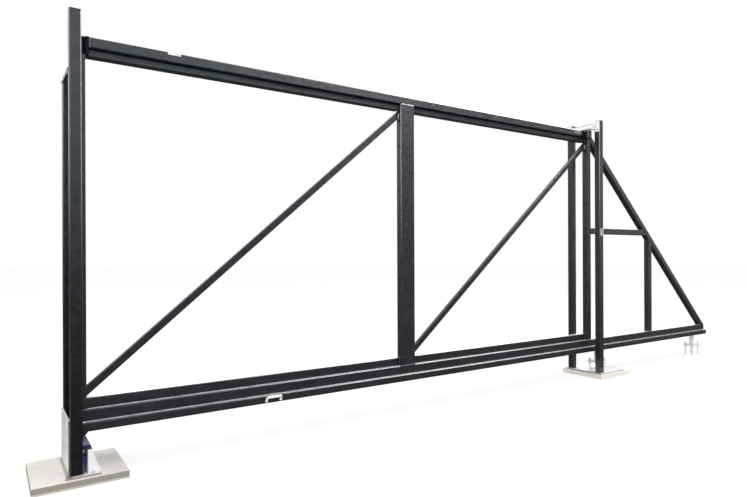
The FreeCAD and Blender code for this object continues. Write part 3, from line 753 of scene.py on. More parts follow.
def closed_up(rows: np.ndarray) -> np.ndarray:
    """Close both ends of a tube: one more row at each end lies wholly on that end's middle.

    Args:
        rows: points as rows x columns x 3.

    Returns:
        The grid with the two rows added.
    """
    first = np.broadcast_to(rows[0].mean(0), rows[0].shape)
    last = np.broadcast_to(rows[-1].mean(0), rows[-1].shape)
    return np.concatenate((first[None], rows, last[None]))


def turned(profile: Sequence[Span], segments: int, ring: bool = False) -> Shell:
    """Turn a profile about z: (radius cos u, radius sin u, height).

    Args:
        profile: (radius, height) rows.
        segments: columns round the axis.
        ring: the profile is a closed loop, as of a bored part.

    Returns:
        The turned surface.
    """
    rows = np.array(profile, float)
    u = np.linspace(0.0, TAU, segments, endpoint=False)
    return Shell.of_grid(around(rows[:, :1], rows[:, 1:], u), loop_rows=ring)


def hexagon(flats: float, high: float) -> Shell:
    """Hexagon head: radius = half flats / cos(angle from the flat's middle), corners cut by a 30 degree cone.

    Args:
        flats: width across flats.
        high: height along z.

    Returns:
        The surface.
    """
    u = np.linspace(0.0, TAU, 48, endpoint=False)
    half = flats / 2.0
    face = half * 0.94
    reach = half / np.cos((u + TAU / 12.0) % (TAU / 6.0) - TAU / 12.0)
    drop = (reach - face) * math.tan(math.radians(30.0))
    rows = ((face, 0.0), (reach, 0.0), (reach, high - drop), (face, high))
    return Shell.of_grid(closed_up(np.stack([around(radius, height, u) for radius, height in rows])))


def threaded(radius: float, pitch: float, length: float) -> Shell:
    """Threaded rod: radius falls by a soft saw of (height / pitch - angle / full turn), and the tip is chamfered.

    Args:
        radius: outer radius.
        pitch: height of one turn.
        length: height of the rod.

    Returns:
        The surface.
    """
    u = np.linspace(0.0, TAU, 20, endpoint=False)
    z = np.linspace(0.0, length, max(6, int(length / pitch * 6)))[:, None]
    groove = np.abs(((z / pitch - u / TAU) % 1.0) * 2.0 - 1.0)
    r = (radius - 0.6 * pitch * groove) * np.clip(1.0 - (z - (length - pitch)) / pitch * 0.22, 0.0, 1.0)
    return Shell.of_grid(closed_up(around(r, z, u)))


@dataclass(frozen=True)
class Outline:
    """Level rectangle with quarter-circle corners, given by its half lengths and its corner radius."""

    half_x: float
    half_y: float
    radius: float

    def flat(self, per_corner: int = 5) -> np.ndarray:
        """Points round the outline, counter-clockwise, as n x 2.

        Args:
            per_corner: points on each corner.

        Returns:
            Corner middle + radius (cos, sin) for each angle of each corner's quarter turn.
        """
        a = np.linspace(0.0, TAU / 4.0, per_corner)
        turn = (np.arange(4) * TAU / 4.0)[:, None] + a
        sign = np.array(((1, 1), (-1, 1), (-1, -1), (1, -1)), float)
        centre = sign * (self.half_x - self.radius, self.half_y - self.radius)
        return np.stack((centre[:, :1] + self.radius * np.cos(turn), centre[:, 1:] + self.radius * np.sin(turn)),
                        -1).reshape(-1, 2)

    def drawn_in(self, inset: float) -> "Outline":
        """The same outline, smaller by an inset all round."""
        return Outline(self.half_x - inset, self.half_y - inset, max(self.radius - inset, self.radius * 0.3))

    def path(self, centre: Point) -> np.ndarray:
        """The outline round a point, as the path of a level seam."""
        return lifted(self.flat() + centre[:2], centre[2])

    def block(self, rows: Sequence[Span]) -> Shell:
        """Closed block: the outline shrinks by each (height, inset) row's inset at that row's height."""
        return Shell.of_grid(closed_up(np.array([lifted(self.drawn_in(inset).flat(7), height)
                                                 for height, inset in rows])))

    def ribbed(self, high: float, pitch: float, deep: float) -> Shell:
        """Moulded block with upright ribs: drawn in by deep x a narrow pulse of the way round / pitch.

        Args:
            high: height along z.
            pitch: distance from groove to groove.
            deep: depth of a groove.

        Returns:
            The closed surface.
        """
        flat = self.flat()
        ring = np.vstack((flat, flat[:1]))
        way = way_along(ring)
        s = np.linspace(0.0, way[-1], 240, endpoint=False)
        outline = np.stack((np.interp(s, way, ring[:, 0]), np.interp(s, way, ring[:, 1])), -1)
        along = np.roll(outline, -1, 0) - np.roll(outline, 1, 0)
        inward = np.stack((-along[:, 1], along[:, 0]), -1) / np.linalg.norm(along, axis=1, keepdims=True)
        pulse = np.clip(np.cos(TAU * s * round(way[-1] / pitch) / way[-1]) * 2.2 - 1.2, 0.0, 1.0)
        edge, start = 0.0012, 0.004
        rows = ((0.0, edge, 0.0), (edge, 0.0, 0.0), (start, 0.0, 1.0), (high - start, 0.0, 1.0),
                (high - edge, 0.0, 0.0), (high, edge, 0.0))
        return Shell.of_grid(closed_up(np.array([
            lifted(outline + inward * (inset + deep * share * pulse)[:, None], height)
            for height, inset, share in rows])))


def plate(wide: Span, tall: Span, rows: Sequence[Span], level: float, left: bool = False,
          radius: float = 0.002) -> Shell:
    """Plate on an upright face: a block whose z becomes the way out of the face.

    Args:
        wide: its ends along the face.
        tall: its lower and upper end.
        rows: (distance from the face, inset) rows outwards.
        level: where the face is, as x or y.
        left: the face looks toward -X, not toward -Y.
        radius: corner radius.

    Returns:
        The closed surface.
    """
    half_wide, half_tall = (wide[1] - wide[0]) / 2.0, (tall[1] - tall[0]) / 2.0
    if left:
        made = Outline(half_tall, half_wide, radius).block(rows)
        points = made.points[:, (2, 1, 0)] * (-1.0, 1.0, 1.0) + (level, sum(wide) / 2.0, sum(tall) / 2.0)
    else:
        made = Outline(half_wide, half_tall, radius).block(rows)
        points = made.points[:, (0, 2, 1)] * (1.0, -1.0, 1.0) + (sum(wide) / 2.0, level, sum(tall) / 2.0)
    return Shell(points, made.faces)


def bead(path: Sequence[Sequence[float]], radius: float, loop: bool = False) -> Shell:
    """Weld bead along a path: a circle carried along it, its radius swelling once for each ripple of the way.

    Args:
        path: corner points of the seam.
        radius: mean radius.
        loop: the seam closes on itself.

    Returns:
        The surface.
    """
    corners = np.asarray(path, float)
    if loop:
        corners = np.vstack((corners, corners[:1]))
    way = way_along(corners)
    s = np.linspace(0.0, way[-1], max(4, int(way[-1] / RIPPLE * 3.0)), endpoint=not loop)
    middle = np.stack([np.interp(s, way, corners[:, k]) for k in range(3)], -1)
    along = np.roll(middle, -1, 0) - np.roll(middle, 1, 0) if loop else np.gradient(middle, axis=0)
    along /= np.linalg.norm(along, axis=1, keepdims=True)
    hint = np.array((0.0, 0.0, 1.0)) if np.abs(along[:, 2]).max() < 0.8 else np.array((0.0, 1.0, 0.0))
    side = np.cross(along, hint)
    side /= np.linalg.norm(side, axis=1, keepdims=True)
    over = np.cross(side, along)
    swell = radius * (1.0 + 0.17 * np.cos(TAU * s / RIPPLE) + 0.08 * np.sin(s * 173.0))
    if not loop:
        ends = np.clip(np.minimum(s, way[-1] - s) / (1.6 * radius), 0.0, 1.0)
        swell = swell * (0.45 + 0.55 * np.sqrt(ends))
    phi = np.linspace(0.0, TAU, 10, endpoint=False)[:, None]
    grid = middle[:, None] + swell[:, None, None] * (np.cos(phi) * side[:, None] + np.sin(phi) * over[:, None])
    return Shell.of_grid(grid if loop else closed_up(grid), loop_rows=loop)


def bolt(flats: float, high: float, washer: float) -> Shell:
    """Hexagon head that stands on a flat washer.

    Args:
        flats: width across flats.
        high: height of the head.
        washer: radius of the washer.

    Returns:
        The surfaces.
    """
    thick = 0.002
    disc = turned(((0.0, 0.0), (washer, 0.0), (washer, 0.0017), (washer - 0.0004, thick), (0.0, thick)), 40)
    return Shell.joined((disc, hexagon(flats, high).at((0.0, 0.0, thick))))


# ---------------------------------------------------------------------------- making pieces


def linked(name: str, data: bpy.types.ID) -> bpy.types.Object:
    """Make an object and link it into the scene.

    Args:
        name: the object's name.
        data: its mesh, lamp or camera.

    Returns:
        The object.
    """
    made = bpy.data.objects.new(name, data)
    bpy.context.scene.collection.objects.link(made)
    return made


class Workshop:
    """Turns surfaces and CAD nodes into finished objects that ride on their bodies."""

    def __init__(self, frame: dict, paints: Paints) -> None:
        """Read which body and finish each CAD node has.

        Args:
            paints: the gate's materials.
        """
        self.nodes = frame["nodes"]
        self.paints = paints
        self.slots = {row["node"]: Slot(row["material_slot"]) for row in frame["record"]["subparts"]}

    def mesh(self, name: str, shell: Shell, sharp: float, merge_flat: bool = False) -> bpy.types.Object:
        """Make an object: doubles merged, edges sharp past an angle.

        Args:
            name: the object's name.
            shell: its points and faces.
            sharp: angle in degrees from which an edge stays hard.
            merge_flat: join faces that lie in one plane; else faces are turned outwards.

        Returns:
            The object, linked into the scene.
        """
        data = bpy.data.meshes.new(name)
        data.from_pydata(shell.points.tolist(), [], shell.faces.tolist())
        work = bmesh.new()
        work.from_mesh(data)
        bmesh.ops.remove_doubles(work, verts=work.verts, dist=DOUBLES)
        if merge_flat:
            bmesh.ops.dissolve_limit(work, angle_limit=FLAT_WITHIN, verts=work.verts, edges=work.edges)
            bmesh.ops.triangulate(work, faces=[face for face in work.faces if len(face.verts) > 4])
        else:
            bmesh.ops.recalc_face_normals(work, faces=work.faces)
        work.to_mesh(data)
        work.free()
        data.polygons.foreach_set("use_smooth", np.ones(len(data.polygons), bool))
        data.set_sharp_from_angle(angle=math.radians(sharp))
        data.update()
        return linked(name, data)

    def piece(self, name: str, shells: Sequence[Shell], body: str, material: bpy.types.Material,
              slot: Slot | None = None, stands_for: Sequence[str] = (), sharp: float = 35.0) -> None:
        """Make one piece of the gate.

        Args:
            name: the piece's name.
            shells: its surfaces.
            body: the CAD body that it rides on.
            material: its finish.
            slot: the record's slot that the finish comes from; not used.
            stands_for: CAD nodes that it replaces.
            sharp: angle in degrees from which an edge stays hard.
        """
        made = self.mesh(name, Shell.joined(list(shells)), sharp)
        made.data.materials.append(material)
        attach(made, body)
        if stands_for:
            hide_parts(*stands_for)
        LOG.info("%s: %d faces on %s", name, len(made.data.polygons), body)

    def dress(self, node: str, edge: float = 0.0, material: bpy.types.Material | None = None) -> None:
        """Lay a clean skin over a CAD node, which it stands for: triangles merged, edges broken where asked.

        Args:
            node: the CAD node.
            edge: width of the broken edge, or 0 for none.
            material: its finish, if not the record's.
        """
        source = self.nodes[node].data
        points = np.zeros(len(source.vertices) * 3)
        source.vertices.foreach_get("co", points)
        corners = np.zeros(len(source.loops), int)
        source.loops.foreach_get("vertex_index", corners)
        made = self.mesh(node + "_skin", Shell(points.reshape(-1, 3), corners.reshape(-1, 3)), SKIN_SHARP, True)
        if edge:
            soft = made.modifiers.new("broken_edge", "BEVEL")
            soft.width, soft.segments, soft.limit_method = edge, 2, "ANGLE"
            soft.angle_limit = math.radians(50.0)
        level = made.modifiers.new("level_faces", "WEIGHTED_NORMAL")
        level.keep_sharp, level.weight = True, 80
        slot = self.slots[node]
        made.data.materials.append(material or self.paints.by_slot[slot])
        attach(made, self.nodes[node]["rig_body"])
        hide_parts(node)
        LOG.info("%s: %d faces", node, len(made.data.polygons))


# ---------------------------------------------------------------------------- sub-assemblies


@dataclass
class Portal:
    """Two square posts on a base plate."""

    body: str = "portals"
    post_x: float = 0.0
    post_y: float = 0.108
    half: float = 0.020
    base_top: float = 0.036
    foot_seam: float = 0.0026
    screw: Point = (0.017, 0.0064, 0.0100)

    def feet(self) -> list[Shell]:
        """Seams round the posts' feet.

        Returns:
            The surfaces.
        """
        foot = Outline(self.half + 0.0012, self.half + 0.0012, 0.005)
        return [bead(foot.path((self.post_x, y, self.base_top)), self.foot_seam, loop=True)
                for y in (-self.post_y, self.post_y)]


@dataclass
class CatchPortal(Portal):
    """Pair of posts that the leaf runs into, with catch plates and the landing shoe."""

    post_x: float = -3.155
    plates: tuple[Span, ...] = ((0.040, 0.234), (1.520, 1.632))
    riser_z: Span = (1.6325, 1.7325)
    riser_reach: float = 0.122
    riser_rows: tuple[Span, ...] = ((0.0002, 0.0), (0.0052, 0.0), (0.0058, 0.0006))
    plate_seam: float = 0.0022
    shoe_bolt: Span = (-3.096, 0.1275)
    screw: Point = (0.017, 0.0064, 0.0098)

    def build(self, shop: Workshop) -> None:
        """Dress the portal, add its seams and bolts, and the bare plate on to the posts' tops.

        Args:
            shop: makes the pieces.
        """
        bright = shop.paints.bright_zinc
        for side in ("front", "rear"):
            shop.dress(f"catch_post_{side}")
            shop.dress(f"catch_post_{side}_cap", CAP_EDGE)
            shop.dress(f"catch_jaw_{side}", 0.0, bright)
        shop.dress("catch_board", BOARD_EDGE)
        shop.dress("catch_base_plate", BASE_EDGE)
        shop.dress("catch_lower_plate", THIN_EDGE)
        shop.dress("catch_upper_plate", THIN_EDGE, bright)
        shop.dress("landing_bracket", 0.0, bright)
        shop.piece("catch_welds", self.feet() + self.seams(), self.body, shop.paints.seam, Slot.PAINT)
        x, reach = self.shoe_bolt
        bolts = [bolt(*self.screw).at((x, y, self.base_top)) for y in (-reach, reach)]
        shop.piece("catch_bolts", bolts, self.body, shop.paints.zinc, Slot.ZINC)
        riser = plate((-self.riser_reach, self.riser_reach), self.riser_z, self.riser_rows,
                      self.post_x - self.half, left=True)
        shop.piece("catch_riser", [riser], self.body, bright, Slot.ZINC)

    def seams(self) -> list[Shell]:
        """Upright seams between the catch plates and the posts' inner sides.

        Returns:
            The surfaces.
        """
        x, y = self.post_x - self.half - 0.0005, self.post_y - self.half - 0.0005
        return [bead(((x, side * y, low + 0.01), (x, side * y, high - 0.01)), self.plate_seam)
                for low, high in self.plates for side in (-1.0, 1.0)]


@dataclass
class GuidePortal(Portal):
    """Pair of posts at the tail side, with the yoke and the guide rollers over the leaf."""

    roller_y: float = 0.0605
    roller_x: float = -0.045
    roller_low: float = 1.6197
    roller_radius: float = 0.020
    roller_high: float = 0.050
    roller_bore: float = 0.0063
    cup: tuple[Span, ...] = ((0.0, -0.0056), (0.0128, -0.0056), (0.0142, -0.0044), (0.0145, -0.0006), (0.0, -0.0006))
    leg_face: float = -0.025
    leg_bolt: Span = (0.097, 1.697)
    anchors: tuple[Span, ...] = ((0.0, 0.060), (0.0, -0.060), (0.210, 0.115), (0.210, -0.115))
    ear_y: Span = (0.0885, 0.1275)
    ear_z: Span = (1.6575, 1.7320)
    ear_rows: tuple[Span, ...] = ((0.0002, 0.0), (0.0044, 0.0), (0.0049, 0.0005))
    clip_x: Span = (-0.0165, 0.0195)
    clip_z: Span = (0.957, 1.010)
    clip_rows: tuple[Span, ...] = ((-0.0002, 0.0), (0.0011, 0.0), (0.0016, 0.0005))

    def build(self, shop: Workshop) -> None:
        """Dress the portal and add its rollers, seams, bolts, ears and clip.

        Args:
            shop: makes the pieces.
        """
        bright = shop.paints.bright_zinc
        for side in ("front", "rear"):
            shop.dress(f"guide_post_{side}")
            shop.dress(f"guide_post_{side}_cap", CAP_EDGE)
        shop.dress("guide_board", BOARD_EDGE, shop.paints.far_board)
        shop.dress("guide_base_plate", BASE_EDGE)
        shop.dress("guide_yoke", 0.0, bright)
        low, high = self.ear_y
        ears = [plate(wide, self.ear_z, self.ear_rows, -self.half, left=True)
                for wide in ((-high, -low), (low, high))]
        shop.piece("yoke_ears", ears, self.body, bright, Slot.ZINC)
        seats = {side: (self.roller_x, y, self.roller_low)
                 for side, y in (("front", -self.roller_y), ("rear", self.roller_y))}
        cups = [turned(self.cup, 40).at(seat) for seat in seats.values()]
        shop.piece("roller_bolt_cups", cups, self.body, shop.paints.cap, Slot.CAP)
        clip = plate(self.clip_x, self.clip_z, self.clip_rows, -self.post_y - self.half, radius=0.003)
        shop.piece("post_clip", [clip], self.body, shop.paints.clip)
        for side, seat in seats.items():
            name = f"guide_roller_{side}"
            shop.piece(f"{name}_turned", [self.roller().at(seat)], name, shop.paints.guide, Slot.GUIDE_NYLON, (name,))
        shop.piece("guide_foot_welds", self.feet(), self.body, shop.paints.seam, Slot.PAINT)
        y, z = self.leg_bolt
        head = bolt(*self.screw)
        bolts = [head.at((self.leg_face, side * y, z), Axis.X, -1.0) for side in (-1.0, 1.0)]
        bolts += [head.at((x, y, self.base_top)) for x, y in self.anchors]
        shop.piece("guide_bolts", bolts, self.body, shop.paints.zinc, Slot.ZINC)

    def roller(self) -> Shell:
        """Guide roller: bored barrel with chamfered ends and two shallow turned grooves.

        Returns:
            The surface.
        """
        r, h, b = self.roller_radius, self.roller_high, self.roller_bore
        low = ((b, 0.0), (r - 0.006, 0.0), (r - 0.005, 0.0010), (r - 0.0022, 0.0010), (r, 0.0032),
               (r, 0.015), (r - 0.0006, 0.0156), (r - 0.0006, 0.0168), (r, 0.0174))
        return turned(low + tuple((radius, h - height) for radius, height in reversed(low)), 64, ring=True)


@dataclass
class Carriages:
    """Two roller carriages that stand on studs and carry the running rail from inside."""

    body: str = "portals"
    plate_top: float = 0.088
    stud_x: tuple[float, ...] = (0.085, 0.175, 1.372, 1.462)
    stud_y: float = 0.027
    stud_radius: float = 0.006
    stud_over: float = 0.021
    pitch: float = 0.00175
    nut: Point = (0.019, 0.010, 0.012)

    def build(self, shop: Workshop) -> None:
        """Dress the carriages and add the nuts over their plates.

        Args:
            shop: makes the pieces.
        """
        bright = shop.paints.bright_zinc
        for end in ("front", "rear"):
            shop.dress(f"{end}_carriage", 0.0, bright)
            shop.dress(f"{end}_carriage_wheels")
            shop.dress(f"{end}_carriage_studs", 0.0, bright)
        top = Shell.joined((bolt(*self.nut), threaded(self.stud_radius, self.pitch, self.stud_over)))
        tops = [top.at((x, y, self.plate_top)) for x in self.stud_x for y in (-self.stud_y, self.stud_y)]
        shop.piece("stud_top_nuts", tops, self.body, bright, Slot.ZINC, sharp=32.0)


@dataclass
class LeafFrame:
    """Welded frame of the leaf: running rail, uprights, long tubes and braces."""

    body: str = "leaf"
    nodes: tuple[str, ...] = ("running_rail", "rail_end_cap", "front_stile", "mid_post", "rear_stile",
                              "bottom_tube_front", "bottom_tube_rear", "top_tube_front", "top_tube_rear",
                              "brace_front", "brace_rear", "top_guide_rail")
    rail_top: float = 0.250
    rail_under: float = 1.630
    stile_x: Span = (-3.151, -3.111)
    mid_x: Span = (-1.6165, -1.5265)
    rear_x: Span = (-0.032, 0.008)
    front_face: float = -0.040
    middle_y: float = -0.020
    seam_y: float = -0.0205
    upright_seams: tuple[Span, ...] = ((0.252, 0.289), (1.602, 1.629))
    level_seams: Span = (0.2905, 1.5995)
    brace_head: Span = (1.551, 1.582)
    seam: float = 0.0024
    head_seam: float = 0.0028

    def build(self, shop: Workshop) -> None:
        """Dress the frame and add its seams.

        Args:
            shop: makes the pieces.
        """
        for node in self.nodes:
            shop.dress(node)
        shop.piece("leaf_frame_welds", self.loops() + self.corners(), self.body, shop.paints.seam, Slot.PAINT)
        shop.piece("bright_welds", self.bright(), self.body, shop.paints.bright_seam, Slot.PAINT)

    def loops(self) -> list[Shell]:
        """Seams round the uprights' feet.

        Returns:
            The surfaces.
        """
        made = []
        for low, high in (self.stile_x, self.mid_x, self.rear_x):
            foot = Outline((high - low) / 2.0 + 0.0010, 0.0208, 0.004)
            made.append(bead(foot.path(((low + high) / 2.0, self.middle_y, self.rail_top)), self.seam, loop=True))
        return made

    def corners(self) -> list[Shell]:
        """Seams where the long tubes meet the uprights: two upright and two level ones at each side.

        Returns:
            The surfaces.
        """
        made = []
        for x in (self.stile_x[1], *self.mid_x, self.rear_x[0]):
            made += [bead(((x, self.seam_y, low), (x, self.seam_y, high)), self.seam)
                     for low, high in self.upright_seams]
            made += [bead(((x, -0.019, z), (x, -0.001, z)), self.seam) for z in self.level_seams]
        return made

    def bright(self) -> list[Shell]:
        """Seams that were ground and show pale: over the middle post, and at the brace heads.

        Returns:
            The surfaces.
        """
        (low, high), face, z = self.mid_x, self.front_face, self.rail_under
        heads = [bead([(x, self.seam_y, end) for end in self.brace_head], self.head_seam)
                 for x in (self.mid_x[0] - 0.0008, self.rear_x[0] - 0.0008)]
        return [bead(((low + 0.003, face, z), (high - 0.003, face, z)), self.seam)] + heads


@dataclass
class Tail:
    """Counterweight triangle behind the leaf."""

    body: str = "leaf"
    nodes: tuple[str, ...] = ("tail_strut", "tail_cross_bar", "tail_upright")
    bar_x: float = 0.008
    bar_z: Span = (0.974, 1.014)
    upright_x: Span = (0.7174, 0.7574)
    bar_y: Span = (-0.0385, -0.0015)
    front_y: float = -0.0402
    middle_y: float = -0.020
    rail_top: float = 0.250

    def build(self, shop: Workshop) -> None:
        """Dress the triangle and add its seams.

        Args:
            shop: makes the pieces.
        """
        for node in self.nodes:
            shop.dress(node)
        x, (z0, z1) = self.bar_x, self.bar_z
        foot = Outline(0.0210, 0.0208, 0.004).path((sum(self.upright_x) / 2.0, self.middle_y, self.rail_top))
        seams = [bead(foot, 0.0024, loop=True)]
        seams += [bead([(x, y, z) for y in self.bar_y], 0.0022) for z in self.bar_z]
        seams.append(bead(((x, self.front_y, z0 + 0.003), (x, self.front_y, z1 - 0.003)), 0.0020))
        shop.piece("tail_welds", seams, self.body, shop.paints.seam, Slot.PAINT)


@dataclass
class LeafFittings:
    """What is fitted to the leaf: nose buffer, end roller and its fork, bow handle and a blank label."""

    body: str = "leaf"
    buffer_x: float = -3.131
    buffer_half: Span = (0.020, 0.035)
    buffer_z: Span = (1.600, 1.670)
    rib_pitch: float = 0.0085
    rib_deep: float = 0.0016
    head_at: Span = (-3.1015, -0.031)
    head: tuple[Span, ...] = ((0.0, 0.0), (0.0062, 0.0), (0.0062, 0.0012), (0.0030, 0.0024), (0.0022, 0.0034),
                              (0.0, 0.0036))
    roller: Point = (-3.129, 0.0, 0.170)
    roller_radius: float = 0.030
    roller_half: float = 0.010
    roller_bore: float = 0.0063
    label_x: Span = (-2.807, -2.754)
    label_z: Span = (1.6590, 1.6710)
    label_rows: tuple[Span, ...] = ((0.0, 0.0), (0.0006, 0.0), (0.0009, 0.0004))
    boot_x: Span = (-3.112, -3.0985)
    boot_y: Span = (-0.0403, -0.0185)
    strip_half: Span = (0.0019, 0.0009)
    handle_feet: Span = (-2.3885, -2.3195)
    handle_yz: Span = (-0.0600, 0.1815)
    handle_pad: tuple[Span, ...] = ((0.0, 0.0), (0.0068, 0.0), (0.0068, 0.0020), (0.0056, 0.0036), (0.0, 0.0040))
    face: float = -0.040

    def build(self, shop: Workshop) -> None:
        """Build the fittings.

        Args:
            shop: makes the pieces.
        """
        paints = shop.paints
        shop.dress("end_roller_fork", THIN_EDGE)
        shop.dress("bow_handle", 0.0, paints.bright_zinc)
        pads = [turned(self.handle_pad, 32).at((x, *self.handle_yz), Axis.Y, -1.0) for x in self.handle_feet]
        shop.piece("handle_pads", pads, self.body, paints.bright_zinc, Slot.ZINC)
        low, high = self.buffer_z
        ribs = Outline(*self.buffer_half, 0.004).ribbed(high - low, self.rib_pitch, self.rib_deep)
        shop.piece("nose_buffer_moulded", [ribs.at((self.buffer_x, 0.0, low))], self.body, paints.rubber,
                   Slot.BUFFER, ("nose_buffer",))
        head = turned(self.head, 32).at((*self.head_at, high + 0.0006))
        shop.piece("buffer_bolt", [head], self.body, paints.cap, Slot.CAP)
        shop.piece("nose_boot", [self.boot()], self.body, paints.rubber, Slot.BUFFER)
        strip = Outline(*self.strip_half, 0.0004).block(((low + 0.0310, 0.0003), (low + 0.0314, 0.0),
                                                         (high - 0.0010, 0.0)))
        strip = strip.at((self.boot_x[1] + self.strip_half[0], self.face + 0.0006, 0.0))
        shop.piece("boot_edge_seam", [strip], self.body, paints.seam, Slot.PAINT)
        shop.piece("end_roller_turned", [self.wheel().at(self.roller, Axis.Y)], "end_roller", paints.navy,
                   Slot.NAVY, ("end_roller",))
        label = plate(self.label_x, self.label_z, self.label_rows, self.face, radius=0.0015)
        shop.piece("blank_label_plate", [label], self.body, paints.label)

    def boot(self) -> Shell:
        """Black boot that runs from the buffer round the end of the top rail and the tube under it.

        Returns:
            The surface.
        """
        (x0, x1), (y0, y1), (low, high) = self.boot_x, self.boot_y, self.buffer_z
        rows = ((low + 0.0004, 0.0008), (low + 0.0012, 0.0), (high - 0.0002, 0.0), (high + 0.0006, 0.0008))
        outline = Outline((x1 - x0) / 2.0, (y1 - y0) / 2.0, 0.0015)
        return outline.block(rows).at(((x0 + x1) / 2.0, (y0 + y1) / 2.0, 0.0))

    def wheel(self) -> Shell:
        """End roller: bored disc with a raised hub, a thin web and a rounded rim.

        Returns:
            The surface.
        """
        r, h, b = self.roller_radius, self.roller_half, self.roller_bore
        side = ((b, h), (0.0115, h), (0.0120, h - 0.0005), (0.0125, h - 0.0018), (r - 0.0065, h - 0.0018),
                (r - 0.0060, h - 0.0005), (r - 0.0055, h), (r - 0.0022, h), (r - 0.0007, h - 0.0010), (r, h - 0.0028))
        return turned(side + tuple((radius, -height) for radius, height in reversed(side)), 72, ring=True)


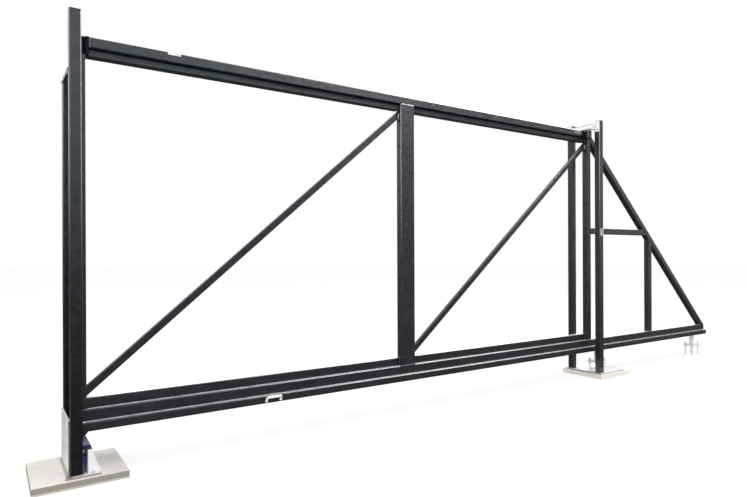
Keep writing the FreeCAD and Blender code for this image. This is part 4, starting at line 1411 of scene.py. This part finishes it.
@dataclass
class Studio:
    """Floor, light and camera."""

    place: Point = (-3.4204, -2.4467, 0.8326)
    yaw: float = 55.9417
    roll: float = -0.2188
    lens: float = 27.495
    shift_y: float = 0.00908
    floor_half: float = 45.0
    floor_glow: float = 0.745
    plain_level: Point = (0.78, 0.78, 0.78)
    mirrored_tone: Point = (0.90, 0.98, 1.11)

    def camera(self) -> None:
        """Set the camera: level, turned from +X toward +Y by the yaw, and rolled slightly."""
        data = bpy.data.cameras.new("view")
        data.lens, data.sensor_width, data.shift_y = self.lens, 36.0, self.shift_y
        data.clip_start, data.clip_end = 0.05, 200.0
        made = linked("view", data)
        a, r = math.radians(self.yaw), math.radians(self.roll)
        ahead = Vector((math.cos(a), math.sin(a), 0.0))
        right, up = Vector((math.sin(a), -math.cos(a), 0.0)), Vector((0.0, 0.0, 1.0))
        across = math.cos(r) * right + math.sin(r) * up
        turn = Matrix((across, across.cross(ahead), -ahead)).transposed().to_4x4()
        made.matrix_world = Matrix.Translation(self.place) @ turn
        bpy.context.scene.camera = made

    def lamp(self, name: str, place: Point, target: Point, size: Span, radiance: float, shown: Shown) -> None:
        """Add one area lamp that faces a point.

        Args:
            name: the lamp's name.
            place: where it hangs.
            target: the point that it faces.
            size: its width and height.
            radiance: brightness of its face.
            shown: what it lights.
        """
        data = bpy.data.lights.new(name, "AREA")
        data.shape, data.size, data.size_y = "RECTANGLE", size[0], size[1]
        data.energy = radiance * math.pi * size[0] * size[1]
        made = linked(name, data)
        made.location = place
        made.rotation_mode = "QUATERNION"
        made.rotation_quaternion = (Vector(target) - Vector(place)).to_track_quat("-Z", "Y")
        made.visible_camera = False
        made.visible_diffuse = shown is Shown.FILL
        made.visible_glossy = shown is Shown.MIRRORED

    def lights(self) -> None:
        """Hang a broad lamp before the gate, a fill at its left, and cards that edges and ledges mirror."""
        self.lamp("front_soft", (3.0, -8.5, 5.6), (-0.8, 0.0, 0.8), (11.0, 5.0), 1.45, Shown.FILL)
        self.lamp("sky_fill", (-1.0, -3.0, 8.0), (-1.0, 0.0, 0.0), (12.0, 5.0), 1.3, Shown.FILL)
        self.lamp("left_fill", (-9.0, 2.0, 2.6), (-3.0, 0.0, 0.9), (5.0, 5.0), 2.6, Shown.FILL)
        self.lamp("overhead_card", (4.5, -1.0, 7.5), (1.5, 0.0, 0.3), (12.0, 5.0), 26.0, Shown.MIRRORED)
        self.lamp("ledge_card", (7.0, 7.0, 2.3), (2.0, 0.0, 0.4), (20.0, 2.8), 2.0, Shown.MIRRORED)
        self.lamp("corner_card", (-8.5, -5.6, 4.9), (-1.5, 0.0, 1.1), (6.0, 3.6), 9.0, Shown.MIRRORED)
        self.lamp("right_card", (10.0, 1.4, 2.2), (-3.1, 0.0, 1.0), (3.0, 3.6), 3.0, Shown.MIRRORED)
        self.lamp("tail_card", (11.0, -5.5, 1.9), (0.6, 0.0, 0.7), (9.0, 4.5), 0.7, Shown.MIRRORED)

    def sky(self) -> None:
        """Set the world: white to the camera, a plain level to dull surfaces, brighter upward to shiny ones."""
        world = bpy.data.worlds.new("studio_white")
        bpy.context.scene.world = world
        world.use_nodes = True
        graph = Graph(world.node_tree)
        back = world.node_tree.nodes["Background"]
        ray = graph.add("LightPath").outputs
        seen = graph.math("MAXIMUM", ray["Is Camera Ray"], ray["Is Transmission Ray"])
        mirrored = ray["Is Glossy Ray"]
        way = graph.add("TexCoord").outputs["Generated"]
        rise = graph.times(graph.span(graph.part(way, "Z"), -0.04, 0.26, 0.06, 1.48),
                           graph.span(graph.part(way, "X"), 0.12, 0.80, 1.0, 0.22))
        level = graph.mix(mirrored, self.plain_level, rise)
        tint = graph.math("MINIMUM", mirrored, graph.math("SUBTRACT", 1.0, seen))
        graph.feed(back.inputs["Color"], graph.mix(tint, (1.0, 1.0, 1.0), self.mirrored_tone))
        graph.feed(back.inputs["Strength"], graph.math("MAXIMUM", seen, level))
        bpy.context.scene.view_settings.view_transform = "Standard"

    def floor(self) -> None:
        """Lay a pale floor that meets the backdrop without a line and keeps the gate's shadow."""
        x = np.linspace(-self.floor_half, self.floor_half, 31)
        shell = Shell.of_grid(np.stack((*np.meshgrid(x, x, indexing="ij"), np.zeros((31, 31))), -1),
                              loop_columns=False)
        data = bpy.data.meshes.new("floor")
        data.from_pydata(shell.points.tolist(), [], shell.faces[:, ::-1].tolist())
        made = linked("floor", data)
        material = bpy.data.materials.new("pale_floor")
        material.use_nodes = True
        graph = Graph(material.node_tree)
        shader = material.node_tree.nodes["Principled BSDF"]
        ray = graph.add("LightPath").outputs
        pale = graph.mix(graph.noise(graph.place(), 3.0), (0.70, 0.70, 0.70), (0.74, 0.74, 0.74))
        seen = graph.mix(ray["Is Camera Ray"], pale, (0.30, 0.30, 0.30))
        looks = {"Base Color": graph.mix(ray["Is Glossy Ray"], seen, (0.14, 0.14, 0.14)), "Roughness": 0.95,
                 "Specular IOR Level": 0.0, "Emission Color": (1.0, 1.0, 1.0),
                 "Emission Strength": graph.times(ray["Is Camera Ray"], self.floor_glow)}
        for key, value in looks.items():
            graph.feed(shader.inputs[key], value)
        data.materials.append(material)

    def build(self) -> None:
        """Set up camera, light and floor."""
        self.camera()
        self.lights()
        self.sky()
        self.floor()


def main(frame: dict) -> None:
    """Build the gate's looks in order.
    """
    logging.basicConfig(level=logging.INFO, format="%(name)s: %(message)s")
    Studio().build()
    shop = Workshop(frame, Paints())
    for part in (CatchPortal(), GuidePortal(), Carriages(), LeafFrame(), Tail(), LeafFittings()):
        LOG.info("building %s", type(part).__name__)
        part.build(shop)
    bpy.context.view_layer.update()


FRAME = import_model()

if __name__ == "__main__":
    main(FRAME)
